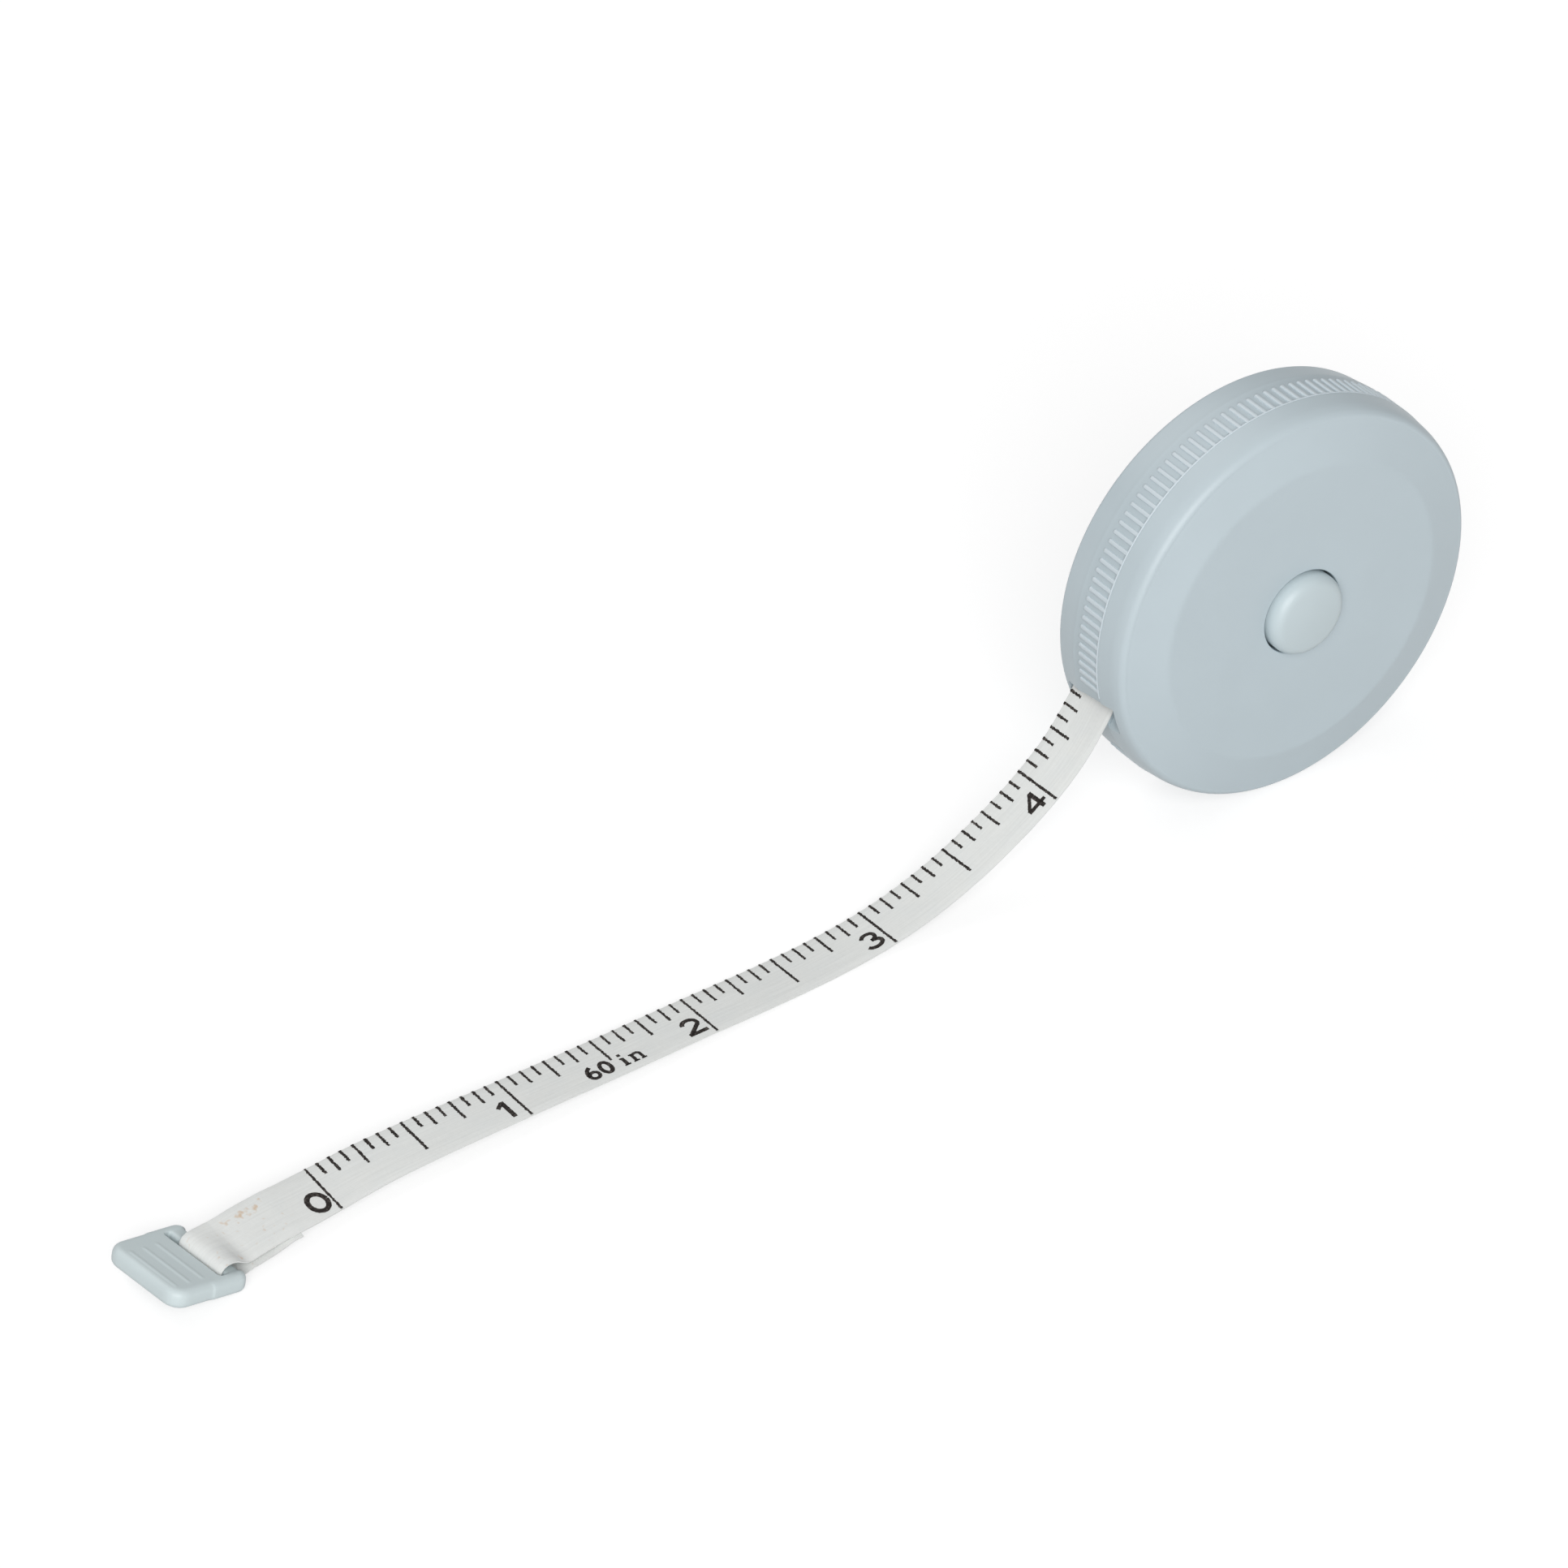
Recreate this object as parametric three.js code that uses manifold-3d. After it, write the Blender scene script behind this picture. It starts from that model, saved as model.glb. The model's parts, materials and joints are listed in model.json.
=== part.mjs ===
// Retractable cloth tape measure: a round plastic case in two halves, a reel that a spiral spring
// winds up, a centre button that lifts a brake off the reel, and a printed cloth tape whose folded
// end holds a pull tab. Millimetres, +Z up. The case stands on its rim with its axis along Y, the
// button faces -Y and the tape leaves towards -X. The origin is on the table under the case.

import * as THREE from 'three';
import { mergeGeometries, mergeVertices } from 'three/addons/utils/BufferGeometryUtils.js';
import Module from 'manifold-3d';

const wasm = await Module();
wasm.setup();

// Clearances
const FIT = 0.3; // between pieces that slide, turn or meet
const SNUG = 0.2; // between pieces that are fixed to each other
const RUN_GAP = 0.3; // at the reel's two thrust faces

// Tape
const TAPE_W = 7.13;
const TAPE_T = 0.3;
const TAPE_SIDE = 0.2; // from a tape edge to the reel's flange

// Button and brake, from the axis outwards
const BUTTON_R = 4.95;
const BUTTON_PROUD = 1.8; // dome above the front face
const BUTTON_DOME = 0.25; // crown of the dome alone
const BUTTON_ROUND = 1.0; // rounding of the button's edge
const BUTTON_TRAVEL = 1.0;
const STEM_R = 1.8;
const STEM_L = 2.5;
const KEY_W = 0.6; // rib on the stem that stops the button turning
const KEY_L = 0.8;
const BRAKE_STEP = 1.25; // button's neck to the brake ring's bore
const BRAKE_W = 2.4;
const BRAKE_T = 0.65;
const PRESS_LIP = 0.4; // button's flange beyond the brake ring
const PRESS_T = 0.9;

// Reel, from the button's flange outwards
const SPIGOT_GAP = 0.6;
const SPIGOT_WALL = 0.9;
const SPIGOT_L = 0.95;
const BARREL_WALL = 1.3;
const ROLL_DEPTH = 4.7; // tape wound on the barrel
const FLANGE_LIP = 2.3; // flange beyond the roll
const FLANGE_T = 0.8;
const COVER_HOLE_GAP = 0.5; // reel cover's hole round the button

// Case, from the reel outwards
const FLANGE_GAP = 3.55;
const TONGUE_WALL = 0.95; // front half's tongue inside the back half's rim
const TONGUE_L = 1.6;
const RIM_WALL = 1.5;
const FACE_WALL = 1.25;
const FACE_BAND = 5.9; // sloping ring and bead round the flat face
const FACE_RISE = 1.25; // flat face above the bead
const BEAD_R = 0.85;
const BEAD_START = 130; // degrees round the bead where the sloping ring ends
const COLLAR_L = 1.545; // guide of the button inside the front face
const COLLAR_WALL = 1.0;
const HOLE_EDGE = 0.15; // eased edge of the button's hole
const SHOULDER_L = 0.435; // thrust face round the post
const SHOULDER_R = 4.5;
const PARTING = 2.5; // joint of the halves, in front of the tape's middle
const WAIST_L = 3.3; // ribbed waist behind the joint
const WAIST_DEPTH = 0.45; // at the joint
const WAIST_END_DEPTH = 0.28; // at the ribs' back ends
const WAIST_FADE = 1.6; // waist's rise to the rim behind the ribs
const LIP_W = 0.3; // lip along the joint, as high as the ribs
const RIB_COUNT = 130;
const RIB_W = 0.42;
const RIB_INSET = 0.1; // rib tops below the rim
const RIB_ROOT = 0.2; // rib's foot inside the waist's wall
const BARE_ABOVE = 6; // degrees without ribs above and below the slot
const BARE_BELOW = 17;

// Centre post and springs
const POST_R = 3.2;
const POST_BORE = 2.2;
const POST_SLIT = 1.2;
const POST_FLOOR = 1.75; // wall behind the post's bore
const POST_GAP = 0.35; // pressed button to the post
const COIL_R = 1.5;
const COIL_WIRE = 0.4;
const COIL_PITCH = 0.85;
const SPRING_T = 0.3;
const SPRING_PITCH = 1.15;
const SPRING_SIDE = 0.4; // spiral spring to the drum's back flange
const SPRING_HOOK = 1.1;

// Slot and the tape's run to it
const LEAD_ANGLE = 148; // degrees round the axis where the tape leaves the roll
const LEAD_INSET = 1.2; // lead's end inside the case's rim
const SLOT_SIDE = 0.6;
const SLOT_ABOVE = 0.45; // slot's lips from the tape's middle
const SLOT_BELOW = 1.05;
const FRONT_SLOT_SIDE = 1.25; // taller and longer in the front half
const FRONT_SLOT_ABOVE = 1.55;

// Pull tab, its nose on the table and its grip tilted up
const BAR_X = -147.76;
const BAR_Y = -6.81; // from the tape's plane in the case
const TAB_YAW = 7; // degrees
const TAB_PITCH = 15;
const BAR_R = 0.8;
const BAR_RISE = 1.4; // bar's middle above the plate's underside
const TAB_T = 2.17;
const TAB_GRIP = 6.975; // plate beyond the slot
const TAB_SLOT_GAP = 0.55;
const TAB_RAIL = 1.31;
const TAB_NOSE = 0.709; // rails' ends past the bar
const TAB_PLAY = 2.59; // slot longer than the tape is wide
const TAB_OFFSET = 0.93; // tape off the slot's middle
const TAB_CORNER = 2.0;
const TAB_ROUND = 0.6;
const RIDGE_COUNT = 3;
const RIDGE_PITCH = 1.84;
const RIDGE_R = 0.3;
const RIDGE_RISE = 0.15;
const RIDGE_L = 8.2;
const RIDGE_BACK = 5.8; // middle ridge, from the bar
const RIDGE_OFFSET = -0.5; // ridges off the plate's middle

// Tape's folded end, as [along, across, above the bar, roll in degrees], and its sealed tail
const FOLD_ROUTE = [
  [11, 0.26, 0.722, 9],
  [9.8, 0.24, 0.822, 9.5],
  [7.6, 0.19, 0.922, 10],
  [5.6, 0.11, 0.992, 11],
  [4.2, 0.04, 1.002, 12],
  [3.3, 0.01, 0.992, 12],
  [2.6, 0, 1.072, 11],
  [1.9, 0, 1.292, 8],
  [1.2, 0, 1.522, 4],
  [0.5, 0, 1.652, 2],
  [-0.15, 0, 1.652, 1.5],
  [-0.7, 0, 1.472, 1],
  [-1.1, 0, 1.092, 0.5],
  [-1.27, 0, 0.572, 0],
  [-1.25, 0, 0, 0],
  [-1.08, 0, -0.628, 0],
  [-0.63, 0, -1.078, 0],
  [0, 0, -1.25, 0],
  [0.8, 0, -1.178, 0],
  [1.6, 0, -0.878, 1],
  [2.4, -0.05, -0.578, 3],
];
const TAIL_ROUTE = [
  [1.6, 0, -0.878, 1],
  [2.4, -0.05, -0.578, 3],
  [3.2, -0.1, -0.25, 6],
  [4, -0.13, -0.08, 9],
  [5, -0.14, 0.03, 10],
  [6, -0.14, 0.14, 10.5],
  [7.6, -0.12, 0.33, 10],
  [9, -0.11, 0.55, 9.5],
  [9.8, -0.11, 0.542, 9.5],
  [10.2, -0.11, 0.51, 9],
];
const JOIN_LEAN = [1, 0.04, -0.04]; // way on from the fold to the free tape

// Middle line of the free tape, from the slot to the fold, on the table and from the tape's plane
const TAPE_ROUTE = [
  [-27.7, -0.21, 13.6],
  [-32.6, -0.45, 9.6],
  [-38.1, -0.7, 6.4],
  [-43.9, -0.97, 3.8],
  [-49.9, -1.25, 1.9],
  [-56.2, -1.53, 0.75],
  [-62.5, -1.8, 0.3],
  [-68.8, -2.07, 0.3],
  [-75.1, -2.32, 0.5],
  [-81.5, -2.56, 0.8],
  [-94.2, -2.99, 1.15],
  [-106.9, -3.33, 1.6],
  [-119.5, -3.58, 1.9],
  [-126.1, -3.84, 1.92],
  [-131.38, -4.4, 1.95],
];
const TAPE_STEPS = 44;
const TWIST_START = -94.2; // tape's twist grows from here to the fold
const TWIST_SPAN = 43.8;
const TWIST = 9; // degrees

// Facets
const CASE_SEGMENTS = 64;
const INNER_SEGMENTS = 40;
const ARC_STEPS = 6;
const TURN_STEPS = 16;
const WIRE_SIDES = 6;
const WELD = 1e-4;
const RAD = Math.PI / 180;

// Radii worked out from the button to the rim
const holeR = BUTTON_R + FIT;
const brakeIn = BUTTON_R + BRAKE_STEP;
const brakeOut = brakeIn + BRAKE_W;
const pressR = brakeOut + PRESS_LIP;
const spigotIn = pressR + SPIGOT_GAP;
const spigotOut = spigotIn + SPIGOT_WALL;
const barrelIn = spigotOut + SNUG;
const barrelOut = barrelIn + BARREL_WALL;
const leadR = barrelOut + ROLL_DEPTH;
const flangeR = leadR + FLANGE_LIP;
const tongueIn = flangeR + FLANGE_GAP;
const tongueOut = tongueIn + TONGUE_WALL;
const rimIn = tongueOut + SNUG;
const caseR = rimIn + RIM_WALL;
const faceR = caseR - FACE_BAND;

// Distances from the tape's middle plane, outwards to each face
const flangeIn = TAPE_W / 2 + TAPE_SIDE;
const flangeOut = flangeIn + FLANGE_T;
const thrust = flangeOut + RUN_GAP;
const frontFace = thrust + COLLAR_L + FACE_WALL;
const backFace = thrust + SHOULDER_L + FACE_WALL;
const buttonTop = frontFace + BUTTON_PROUD;
const brakeFront = flangeIn - FIT;
const pressFront = brakeFront - BRAKE_T - SNUG;
const pressBack = pressFront - PRESS_T;
const postEnd = pressBack - BUTTON_TRAVEL - POST_GAP;
const stemEnd = STEM_L - pressBack;
const boreFloor = backFace - POST_FLOOR;
const axisHeight = caseR * Math.cos(Math.PI / CASE_SEGMENTS);
const tapePlane = (buttonTop - backFace) / 2;

// Merges shared corners, drops empty triangles and turns the faces outwards
function weld(geometry) {
  geometry.deleteAttribute('normal');
  geometry.deleteAttribute('uv');
  const merged = mergeVertices(geometry, WELD);
  const corner = (i) => new THREE.Vector3().fromBufferAttribute(merged.attributes.position, i);
  const kept = [];
  let volume = 0;
  for (let i = 0; i < merged.index.count; i += 3) {
    const [a, b, c] = [0, 1, 2].map((k) => merged.index.getX(i + k));
    if (a !== b && b !== c && c !== a) {
      kept.push([a, b, c]);
      volume += corner(a).dot(corner(b).cross(corner(c)));
    }
  }
  const outward = volume < 0 ? kept.map(([a, b, c]) => [a, c, b]) : kept;
  merged.setIndex(outward.flat());
  return merged;
}

// Closed geometry as a solid for joining and cutting
function solid(geometry) {
  const body = weld(geometry);
  return new wasm.Manifold(new wasm.Mesh({
    numProp: 3,
    vertProperties: new Float32Array(body.attributes.position.array),
    triVerts: new Uint32Array(body.index.array),
  }));
}

// Solid back as geometry
function shaped(manifold) {
  const mesh = manifold.getMesh();
  const geometry = new THREE.BufferGeometry();
  geometry.setAttribute('position', new THREE.BufferAttribute(mesh.vertProperties, 3));
  geometry.setIndex(new THREE.BufferAttribute(mesh.triVerts, 1));
  return geometry;
}

// Points along an arc, angles in degrees
function arc(x, y, radius, from, to, steps = ARC_STEPS) {
  return Array.from({ length: steps + 1 }, (_, i) => {
    const angle = RAD * (from + ((to - from) * i) / steps);
    return [x + radius * Math.cos(angle), y + radius * Math.sin(angle)];
  });
}

// Profile of [radius, y] points turned about the Y axis, with a flat facet at the bottom
function revolve(profile, segments) {
  const points = profile.map(([r, y]) => new THREE.Vector2(r, y));
  return new THREE.LatheGeometry(points, segments, Math.PI / segments);
}

// Closed body through rings of as many points each, from the first to the last
function loft(rings) {
  const sides = rings[0].length;
  const last = (rings.length - 1) * sides;
  const index = [];
  for (let i = 0; i < rings.length - 1; i += 1) {
    for (let k = 0; k < sides; k += 1) {
      const a = i * sides + k;
      const b = i * sides + ((k + 1) % sides);
      index.push(a, b, a + sides, b, b + sides, a + sides);
    }
  }
  for (let k = 1; k < sides - 1; k += 1) {
    index.push(0, k + 1, k);
    index.push(last, last + k, last + k + 1);
  }
  const geometry = new THREE.BufferGeometry();
  geometry.setAttribute('position', new THREE.Float32BufferAttribute(
    rings.flat().flatMap((point) => point.toArray()), 3));
  geometry.setIndex(index);
  return geometry;
}

// Flat strip along points, its width along the across direction of each point
function strip(points, width, thickness, across) {
  const curve = new THREE.CatmullRomCurve3(points);
  const rings = points.map((point, i) => {
    const tangent = curve.getTangent(i / (points.length - 1));
    const normal = new THREE.Vector3().crossVectors(tangent, across(point, i)).normalize();
    const side = new THREE.Vector3().crossVectors(normal, tangent).normalize();
    const corner = (w, t) => point.clone()
      .addScaledVector(side, (w * width) / 2).addScaledVector(normal, (t * thickness) / 2);
    return [corner(1, 1), corner(-1, 1), corner(-1, -1), corner(1, -1)];
  });
  return loft(rings);
}

// Least distance between turns of a wound line, less its thickness
function leastGap(points, thickness, turnPoints) {
  let least = Infinity;
  for (let i = 0; i < points.length; i += 1) {
    for (let k = i + Math.ceil(turnPoints / 2); k < points.length; k += 1) {
      least = Math.min(least, points[i].distanceTo(points[k]));
    }
  }
  return least - thickness;
}

const UP_Y = new THREE.Vector3(0, 1, 0);
const plastic = { roughness: 0.45, metalness: 0 };
const caseBlue = '#b9c6cc';
const cloth = { color: '#e9e9e5', roughness: 0.9, metalness: 0 };
const steel = { color: '#9a9c9e', roughness: 0.35, metalness: 1 };

function add(group, name, geometry, look) {
  const mesh = new THREE.Mesh(weld(geometry), new THREE.MeshStandardMaterial(look));
  mesh.geometry.computeVertexNormals();
  mesh.name = name;
  group.add(mesh);
}

const tapeMeasure = new THREE.Group();
const caseGroup = new THREE.Group();
caseGroup.position.set(0, tapePlane, axisHeight);
tapeMeasure.add(caseGroup);

// Straight run of the tape from the roll to the slot, in the case's own frame
const leadNormal = new THREE.Vector3(Math.cos(RAD * LEAD_ANGLE), 0, Math.sin(RAD * LEAD_ANGLE));
const leadDirection = new THREE.Vector3(-leadNormal.z, 0, leadNormal.x);
const leadReach = (r) => Math.sqrt(r * r - leadR * leadR);
const leadEnd = leadReach(caseR - LEAD_INSET);
const leadPoint = (along, out = 0) => leadNormal.clone()
  .multiplyScalar(leadR + out).addScaledVector(leadDirection, along);
const exitAngle = LEAD_ANGLE + Math.acos(leadR / caseR) / RAD;

// Box in the lead's frame: along the tape, across it, and between two offsets from its middle
function leadBox(from, to, width, below, above) {
  const box = new THREE.BoxGeometry(above - below, width, to - from);
  const frame = new THREE.Matrix4().makeBasis(
    leadNormal, new THREE.Vector3().crossVectors(leadDirection, leadNormal), leadDirection);
  frame.setPosition(leadPoint((from + to) / 2, (above + below) / 2));
  return box.applyMatrix4(frame);
}

// Opening for the tape in the rim of a half
function slotCut(side, above) {
  return solid(leadBox(
    leadReach(tongueIn) - RIM_WALL, leadReach(caseR) + RIM_WALL,
    TAPE_W + 2 * side, -SLOT_BELOW, above));
}

// Outside of a half from its flat face to its rim, as [radius, distance] points
function outerFace(face) {
  return [
    [faceR, face],
    ...arc(caseR - BEAD_R, face - FACE_RISE - BEAD_R, BEAD_R, BEAD_START, 0),
  ];
}

// Inside of a half: the same slope, one wall further in
function innerFace(face, radius) {
  const [, [footR, foot]] = outerFace(face);
  const slope = (face - foot) / (footR - faceR);
  const inside = face - FACE_WALL;
  return [
    [radius, inside - slope * (radius - faceR)],
    [faceR, inside],
  ];
}

const toFront = ([r, distance]) => [r, -distance];

function frontShell() {
  const collarR = holeR + COLLAR_WALL;
  const profile = [
    [holeR, thrust],
    [holeR, frontFace - HOLE_EDGE],
    [holeR + HOLE_EDGE, frontFace],
    ...outerFace(frontFace),
    [caseR, PARTING],
    [tongueOut, PARTING],
    [tongueOut, PARTING - TONGUE_L],
    [tongueIn, PARTING - TONGUE_L],
    ...innerFace(frontFace, tongueIn),
    [collarR, frontFace - FACE_WALL],
    [collarR, thrust],
    [holeR, thrust],
  ];
  const slot = slotCut(FRONT_SLOT_SIDE, FRONT_SLOT_ABOVE);
  return shaped(solid(revolve(profile.map(toFront), CASE_SEGMENTS)).subtract(slot));
}

// Fine ribs round the waist, from the lip at the joint back
function waistRibs(front, back) {
  const inner = caseR - WAIST_DEPTH - RIB_ROOT;
  const outer = caseR - RIB_INSET;
  const ribs = [];
  for (let i = 0; i < RIB_COUNT; i += 1) {
    const angle = (360 * (i + 0.5)) / RIB_COUNT;
    if (angle < exitAngle - BARE_ABOVE || angle > exitAngle + BARE_BELOW) {
      const rib = new THREE.BoxGeometry(outer - inner, back - front, RIB_W);
      rib.translate((outer + inner) / 2, (front + back) / 2, 0);
      ribs.push(rib.rotateY(-RAD * angle));
    }
  }
  return mergeGeometries(ribs);
}

function backShell() {
  const joint = -PARTING + SNUG;
  const waistBack = -PARTING + WAIST_L;
  const profile = [
    [0, boreFloor],
    [POST_BORE, boreFloor],
    [POST_BORE, -postEnd],
    [POST_R, -postEnd],
    [POST_R, thrust],
    [SHOULDER_R, thrust],
    [SHOULDER_R, backFace - FACE_WALL],
    ...innerFace(backFace, rimIn).reverse(),
    [rimIn, joint],
    [caseR - RIB_INSET, joint],
    [caseR - RIB_INSET, joint + LIP_W],
    [caseR - WAIST_DEPTH, joint + LIP_W],
    [caseR - WAIST_END_DEPTH, waistBack],
    [caseR, waistBack + WAIST_FADE],
    ...outerFace(backFace).reverse(),
    [0, backFace],
  ];
  const slitDepth = flangeIn + postEnd;
  const slit = new THREE.BoxGeometry(2 * POST_R + FIT, slitDepth, POST_SLIT);
  slit.translate(0, slitDepth / 2 - postEnd, 0);
  return shaped(solid(revolve(profile, CASE_SEGMENTS))
    .add(solid(waistRibs(joint + LIP_W / 2, waistBack)))
    .subtract(slotCut(SLOT_SIDE, SLOT_ABOVE))
    .subtract(solid(slit)));
}

function button() {
  const edge = buttonTop - BUTTON_DOME - BUTTON_ROUND;
  const profile = [
    [0, buttonTop],
    [(BUTTON_R - BUTTON_ROUND) / 2, buttonTop - BUTTON_DOME / 4],
    ...arc(BUTTON_R - BUTTON_ROUND, edge, BUTTON_ROUND, 90, 0),
    [BUTTON_R, pressFront],
    [pressR, pressFront],
    [pressR, pressBack],
    [STEM_R, pressBack],
    [STEM_R, -stemEnd],
    [0, -stemEnd],
  ];
  const reach = POST_R - FIT;
  const key = new THREE.BoxGeometry(reach, KEY_L, KEY_W);
  key.translate(-reach / 2, stemEnd - KEY_L / 2, 0);
  return shaped(solid(revolve(profile.map(toFront), INNER_SEGMENTS)).add(solid(key)));
}

function brakeRing() {
  const back = brakeFront - BRAKE_T;
  const profile = [
    [brakeIn, back],
    [brakeIn, brakeFront],
    [brakeOut, brakeFront],
    [brakeOut, back],
    [brakeIn, back],
  ];
  return revolve(profile.map(toFront), INNER_SEGMENTS);
}

function buttonSpring() {
  const start = stemEnd + FIT + COIL_WIRE / 2;
  const end = boreFloor - FIT - COIL_WIRE / 2;
  const turns = (end - start) / COIL_PITCH;
  const steps = Math.ceil(turns * TURN_STEPS);
  const at = (i) => {
    const angle = (2 * Math.PI * turns * i) / steps;
    const y = start + ((end - start) * i) / steps;
    return new THREE.Vector3(COIL_R * Math.cos(angle), y, COIL_R * Math.sin(angle));
  };
  const points = Array.from({ length: steps + 1 }, (_, i) => at(i));
  const rings = points.map((point) => {
    const out = new THREE.Vector3(point.x, 0, point.z).normalize();
    return Array.from({ length: WIRE_SIDES }, (_, k) => {
      const angle = (2 * Math.PI * k) / WIRE_SIDES;
      return point.clone()
        .addScaledVector(out, (COIL_WIRE / 2) * Math.cos(angle))
        .addScaledVector(UP_Y, (COIL_WIRE / 2) * Math.sin(angle));
    });
  });
  console.log('button spring, least gap between turns', leastGap(points, COIL_WIRE, TURN_STEPS));
  return loft(rings);
}

// Spiral of the power spring, between the post and the barrel
const spiralIn = POST_R + FIT + SPRING_T / 2;
const spiralOut = barrelIn - SPRING_HOOK / 2;
const spiralTurns = (spiralOut - spiralIn) / SPRING_PITCH;
const spiralEndAngle = 2 * Math.PI * spiralTurns;

function powerSpring() {
  const steps = Math.ceil(spiralTurns * TURN_STEPS);
  const front = -postEnd;
  const back = flangeIn - SPRING_SIDE;
  const at = (r, angle) => new THREE.Vector3(
    r * Math.cos(angle), (front + back) / 2, r * Math.sin(angle));
  const spiral = Array.from({ length: steps + 1 }, (_, i) => at(
    spiralIn + ((spiralOut - spiralIn) * i) / steps, (spiralEndAngle * i) / steps));
  const points = [
    at(spiralIn - SPRING_HOOK, 0),
    ...spiral,
    at(spiralOut + SPRING_HOOK, spiralEndAngle),
  ];
  console.log('power spring, least gap between turns', leastGap(spiral, SPRING_T, TURN_STEPS));
  return strip(points, back - front, SPRING_T, () => UP_Y);
}

function reelDrum() {
  const profile = [
    [POST_R + FIT, flangeIn],
    [barrelIn, flangeIn],
    [barrelIn, -flangeIn + SNUG],
    [barrelOut, -flangeIn + SNUG],
    [barrelOut, flangeIn],
    [flangeR, flangeIn],
    [flangeR, flangeOut],
    [POST_R + FIT, flangeOut],
    [POST_R + FIT, flangeIn],
  ];
  const length = postEnd + flangeIn;
  const notch = new THREE.BoxGeometry(BARREL_WALL + 2 * FIT, length, POST_SLIT);
  notch.translate((barrelIn + barrelOut) / 2, (flangeIn - postEnd) / 2 - FIT / 2, 0);
  notch.rotateY(-spiralEndAngle);
  return shaped(solid(revolve(profile, INNER_SEGMENTS)).subtract(solid(notch)));
}

function reelCover() {
  const profile = [
    [BUTTON_R + COVER_HOLE_GAP, flangeIn],
    [BUTTON_R + COVER_HOLE_GAP, flangeOut],
    [flangeR, flangeOut],
    [flangeR, flangeIn],
    [spigotOut, flangeIn],
    [spigotOut, flangeIn - SPIGOT_L],
    [spigotIn, flangeIn - SPIGOT_L],
    [spigotIn, flangeIn],
    [BUTTON_R + COVER_HOLE_GAP, flangeIn],
  ];
  return revolve(profile.map(toFront), INNER_SEGMENTS);
}

// Roll of tape under the lead, as one ring
function tapeWinding() {
  const rollR = leadR - TAPE_T / 2 - FIT;
  const profile = [
    [barrelOut + FIT, -TAPE_W / 2],
    [rollR, -TAPE_W / 2],
    [rollR, TAPE_W / 2],
    [barrelOut + FIT, TAPE_W / 2],
    [barrelOut + FIT, -TAPE_W / 2],
  ];
  return revolve(profile, CASE_SEGMENTS);
}

add(caseGroup, 'front_shell', frontShell(), { ...plastic, color: caseBlue });
add(caseGroup, 'back_shell', backShell(), { ...plastic, color: caseBlue });
add(caseGroup, 'button', button(), { ...plastic, color: '#c0ced1' });
add(caseGroup, 'brake_ring', brakeRing(), { color: '#3a3a3a', roughness: 0.9, metalness: 0 });
add(caseGroup, 'button_spring', buttonSpring(), steel);
add(caseGroup, 'power_spring', powerSpring(), steel);
add(caseGroup, 'reel_drum', reelDrum(), { ...plastic, color: '#e2e2de' });
add(caseGroup, 'reel_cover', reelCover(), { ...plastic, color: '#e2e2de' });
add(caseGroup, 'tape_winding', tapeWinding(), cloth);
add(caseGroup, 'tape_lead', leadBox(0, leadEnd, TAPE_W, -TAPE_T / 2, TAPE_T / 2), cloth);

// Folded end and pull tab: local +X runs from the bar back towards the case
const endGroup = new THREE.Group();
endGroup.position.set(BAR_X, tapePlane + BAR_Y, 0);
endGroup.rotation.z = RAD * TAB_YAW;
endGroup.updateMatrixWorld(true);
tapeMeasure.add(endGroup);

const foldR = BAR_R + FIT + TAPE_T / 2;
const noseX = BAR_R + TAB_NOSE;
const barZ = TAB_ROUND + (noseX - TAB_ROUND) * Math.sin(RAD * TAB_PITCH)
  + (BAR_RISE - TAB_ROUND) * Math.cos(RAD * TAB_PITCH);

// Direction across the tape where it is rolled by an angle in degrees, the far edge up
function rolled(angle) {
  return new THREE.Vector3(0, Math.cos(RAD * angle), Math.sin(RAD * angle));
}

// Strip of tape along a route of the folded end
function foldStrip(route) {
  const steps = 2 * (route.length - 1);
  const line = new THREE.CatmullRomCurve3(
    route.map(([x, y, z]) => new THREE.Vector3(x, y, barZ + z))).getPoints(steps);
  const rolls = new THREE.CatmullRomCurve3(
    route.map(([, , , roll]) => new THREE.Vector3(roll, 0, 0))).getPoints(steps);
  return solid(strip(line, TAPE_W, TAPE_T, (_, i) => rolled(rolls[i].x)));
}

function tapeEndLoop() {
  return shaped(foldStrip(FOLD_ROUTE).add(foldStrip(TAIL_ROUTE)));
}

// Rounded rectangle between two corners
function roundedPlate(x0, x1, y0, y1, radius) {
  return new THREE.Shape([
    ...arc(x1 - radius, y1 - radius, radius, 0, 90),
    ...arc(x0 + radius, y1 - radius, radius, 90, 180),
    ...arc(x0 + radius, y0 + radius, radius, 180, 270),
    ...arc(x1 - radius, y0 + radius, radius, 270, 360),
  ].map(([x, y]) => new THREE.Vector2(x, y)));
}

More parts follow.
